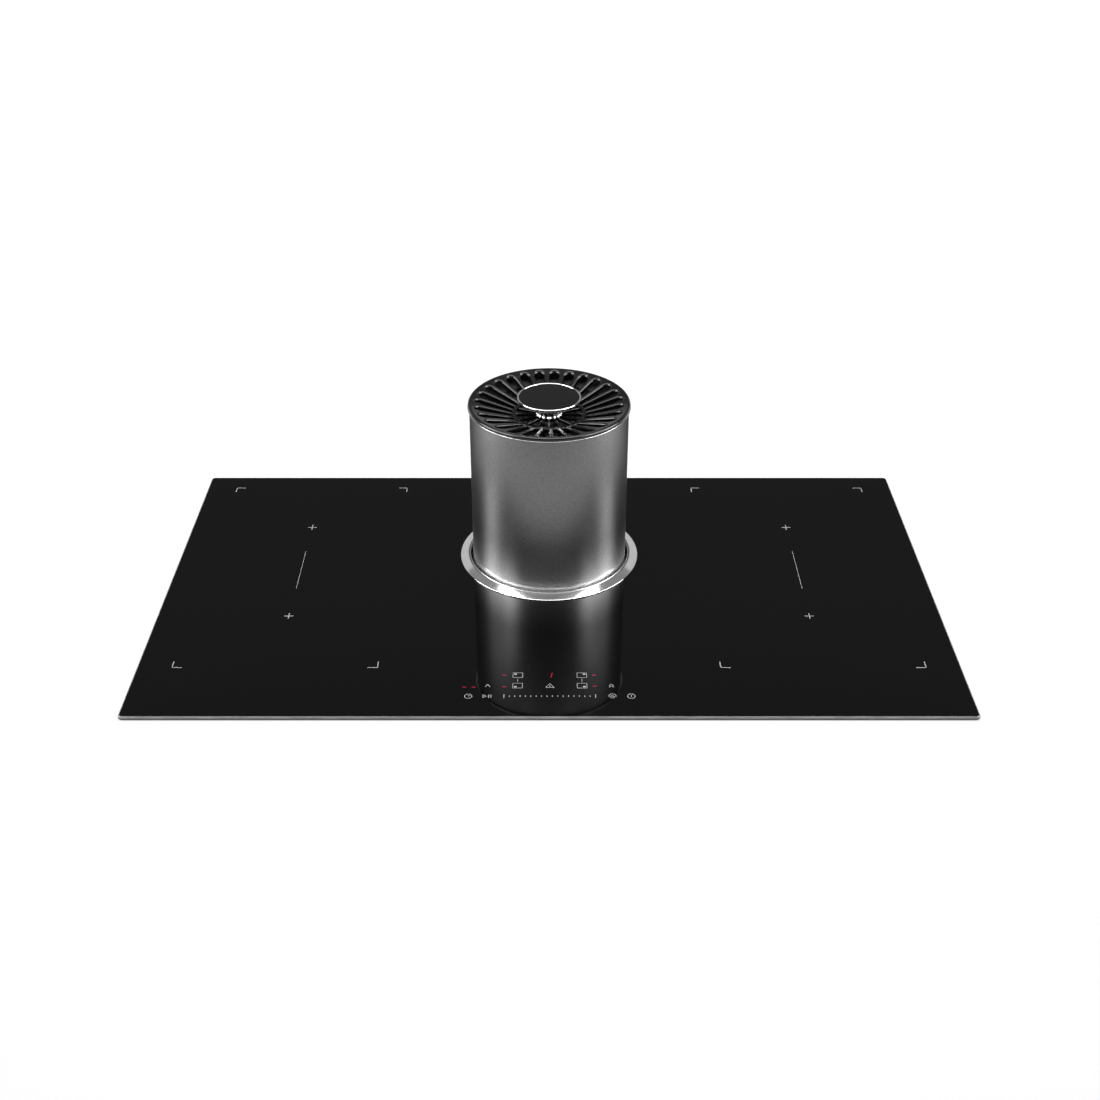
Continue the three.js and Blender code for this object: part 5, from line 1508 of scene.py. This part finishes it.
def addSkirtBand(tree, elevation, azimuth):
    band = surround["skirt"]
    up, turn = band["fade"]
    around = softStep(tree, azimuth, band["azimuth"], band["azimuth"] + turn)
    return multiply(tree, around, softStep(tree, elevation, band["elevation"] + up, band["elevation"]))


def makeClothFinish():  # dark in front, with paler bands behind that only polished metal picks up
    material, tree = emptyMaterial("darkCloth")
    x, y, z = addNode(tree, "ShaderNodeSeparateXYZ", {0: objectPlace(tree)}).outputs
    flat = addNode(tree, "ShaderNodeCombineXYZ", {"X": x, "Y": y}).outputs[0]
    reach = addNode(tree, "ShaderNodeVectorMath", {0: flat}, operation="LENGTH").outputs["Value"]
    rise = calculate(tree, "SUBTRACT", z, glassHigh.z)
    elevation = multiply(tree, calculate(tree, "ARCTAN2", rise, reach), perRadian)
    side = calculate(tree, "ABSOLUTE", x)
    azimuth = multiply(tree, calculate(tree, "ARCTAN2", side, y), perRadian)
    strength = addBaseTone(tree, y, z)
    for key, addBand in (("upper", addUpperBand), ("low", addLowBand), ("skirt", addSkirtBand)):
        glow = multiply(tree, addBand(tree, elevation, azimuth), surround[key]["glow"])
        strength = calculate(tree, "MAXIMUM", strength, glow)
    addNode(tree, "ShaderNodeOutputMaterial", {"Surface": addGlow(tree, strength)})
    return material


def buildSurround():  # cloth round the set, seen only in reflections
    work = bmesh.new()
    rows = surround["rows"]
    rings = []
    for i in range(rows + 1):
        angle = math.radians(surround["from"] + (90 - surround["from"]) * i / rows)
        reach = surround["radius"] * math.cos(angle) if i < rows else 0
        height = surround["radius"] * math.sin(angle) + glassHigh.z
        rings.append(addRing(work, reach, height, surround["sides"], Vector()))
    bridgeAll(work, rings)
    cloth = finishPiece(work, "darkSurround", [makeClothFinish()])
    cloth.visible_camera = False
    cloth.visible_diffuse = False
    cloth.visible_transmission = False
    cloth.visible_shadow = False


roomFill = 0.18  # the white room's light on matt surfaces


def setWorld():
    world = bpy.data.worlds.new("studio")
    bpy.context.scene.world = world
    world.use_nodes = True
    tree = world.node_tree
    tree.nodes.clear()
    strength = rescale(tree, seenDirectly(tree), roomFill, 1.0)
    addNode(tree, "ShaderNodeOutputWorld", {"Surface": addGlow(tree, strength, "ShaderNodeBackground")})


# Each of these stands on the right, and again on the left
sideLamps = {
    "Softbox": {"place": (1.45, -0.02, 1.27), "aim": (0, 0, 0.6), "size": (0.95, 1.1), "radiance": 6.5},
    "LowCard": {"place": (1.3, 0, 0.66), "aim": (0, 0, 0.4), "size": (0.46, 0.3), "radiance": 13.0},
    "FrontBox": {"place": (1.35, -0.7, 1.4), "aim": (0, 0, 0.6), "size": (0.5, 0.8), "radiance": 12.0},
}
overhead = {"place": (0, 0.06, 1.9), "aim": (0, 0.06, 0), "size": (1.46, 1.4), "radiance": 4.2}


def addSoftbox(name, setup, place):
    data = bpy.data.lights.new(name, "AREA")
    data.shape = "RECTANGLE"
    data.size, data.size_y = setup["size"]
    data.energy = setup["radiance"] * math.pi * setup["size"][0] * setup["size"][1]
    lamp = bpy.data.objects.new(name, data)
    lamp.location = place
    aim = Vector(setup["aim"]) - Vector(place)
    lamp.rotation_euler = aim.to_track_quat("-Z", "Y").to_euler()
    lamp.visible_camera = False
    lamp.visible_diffuse = setup is overhead
    bpy.context.scene.collection.objects.link(lamp)


buildWorktop()
buildFloor()
buildSurround()
setWorld()
for lampName, lampSetup in sideLamps.items():
    for sideName, sideSign in (("left", -1), ("right", 1)):
        lampX, lampY, lampZ = lampSetup["place"]
        addSoftbox(sideName + lampName, lampSetup, (sideSign * lampX, lampY, lampZ))
addSoftbox("overhead", overhead, overhead["place"])
print("studio set")
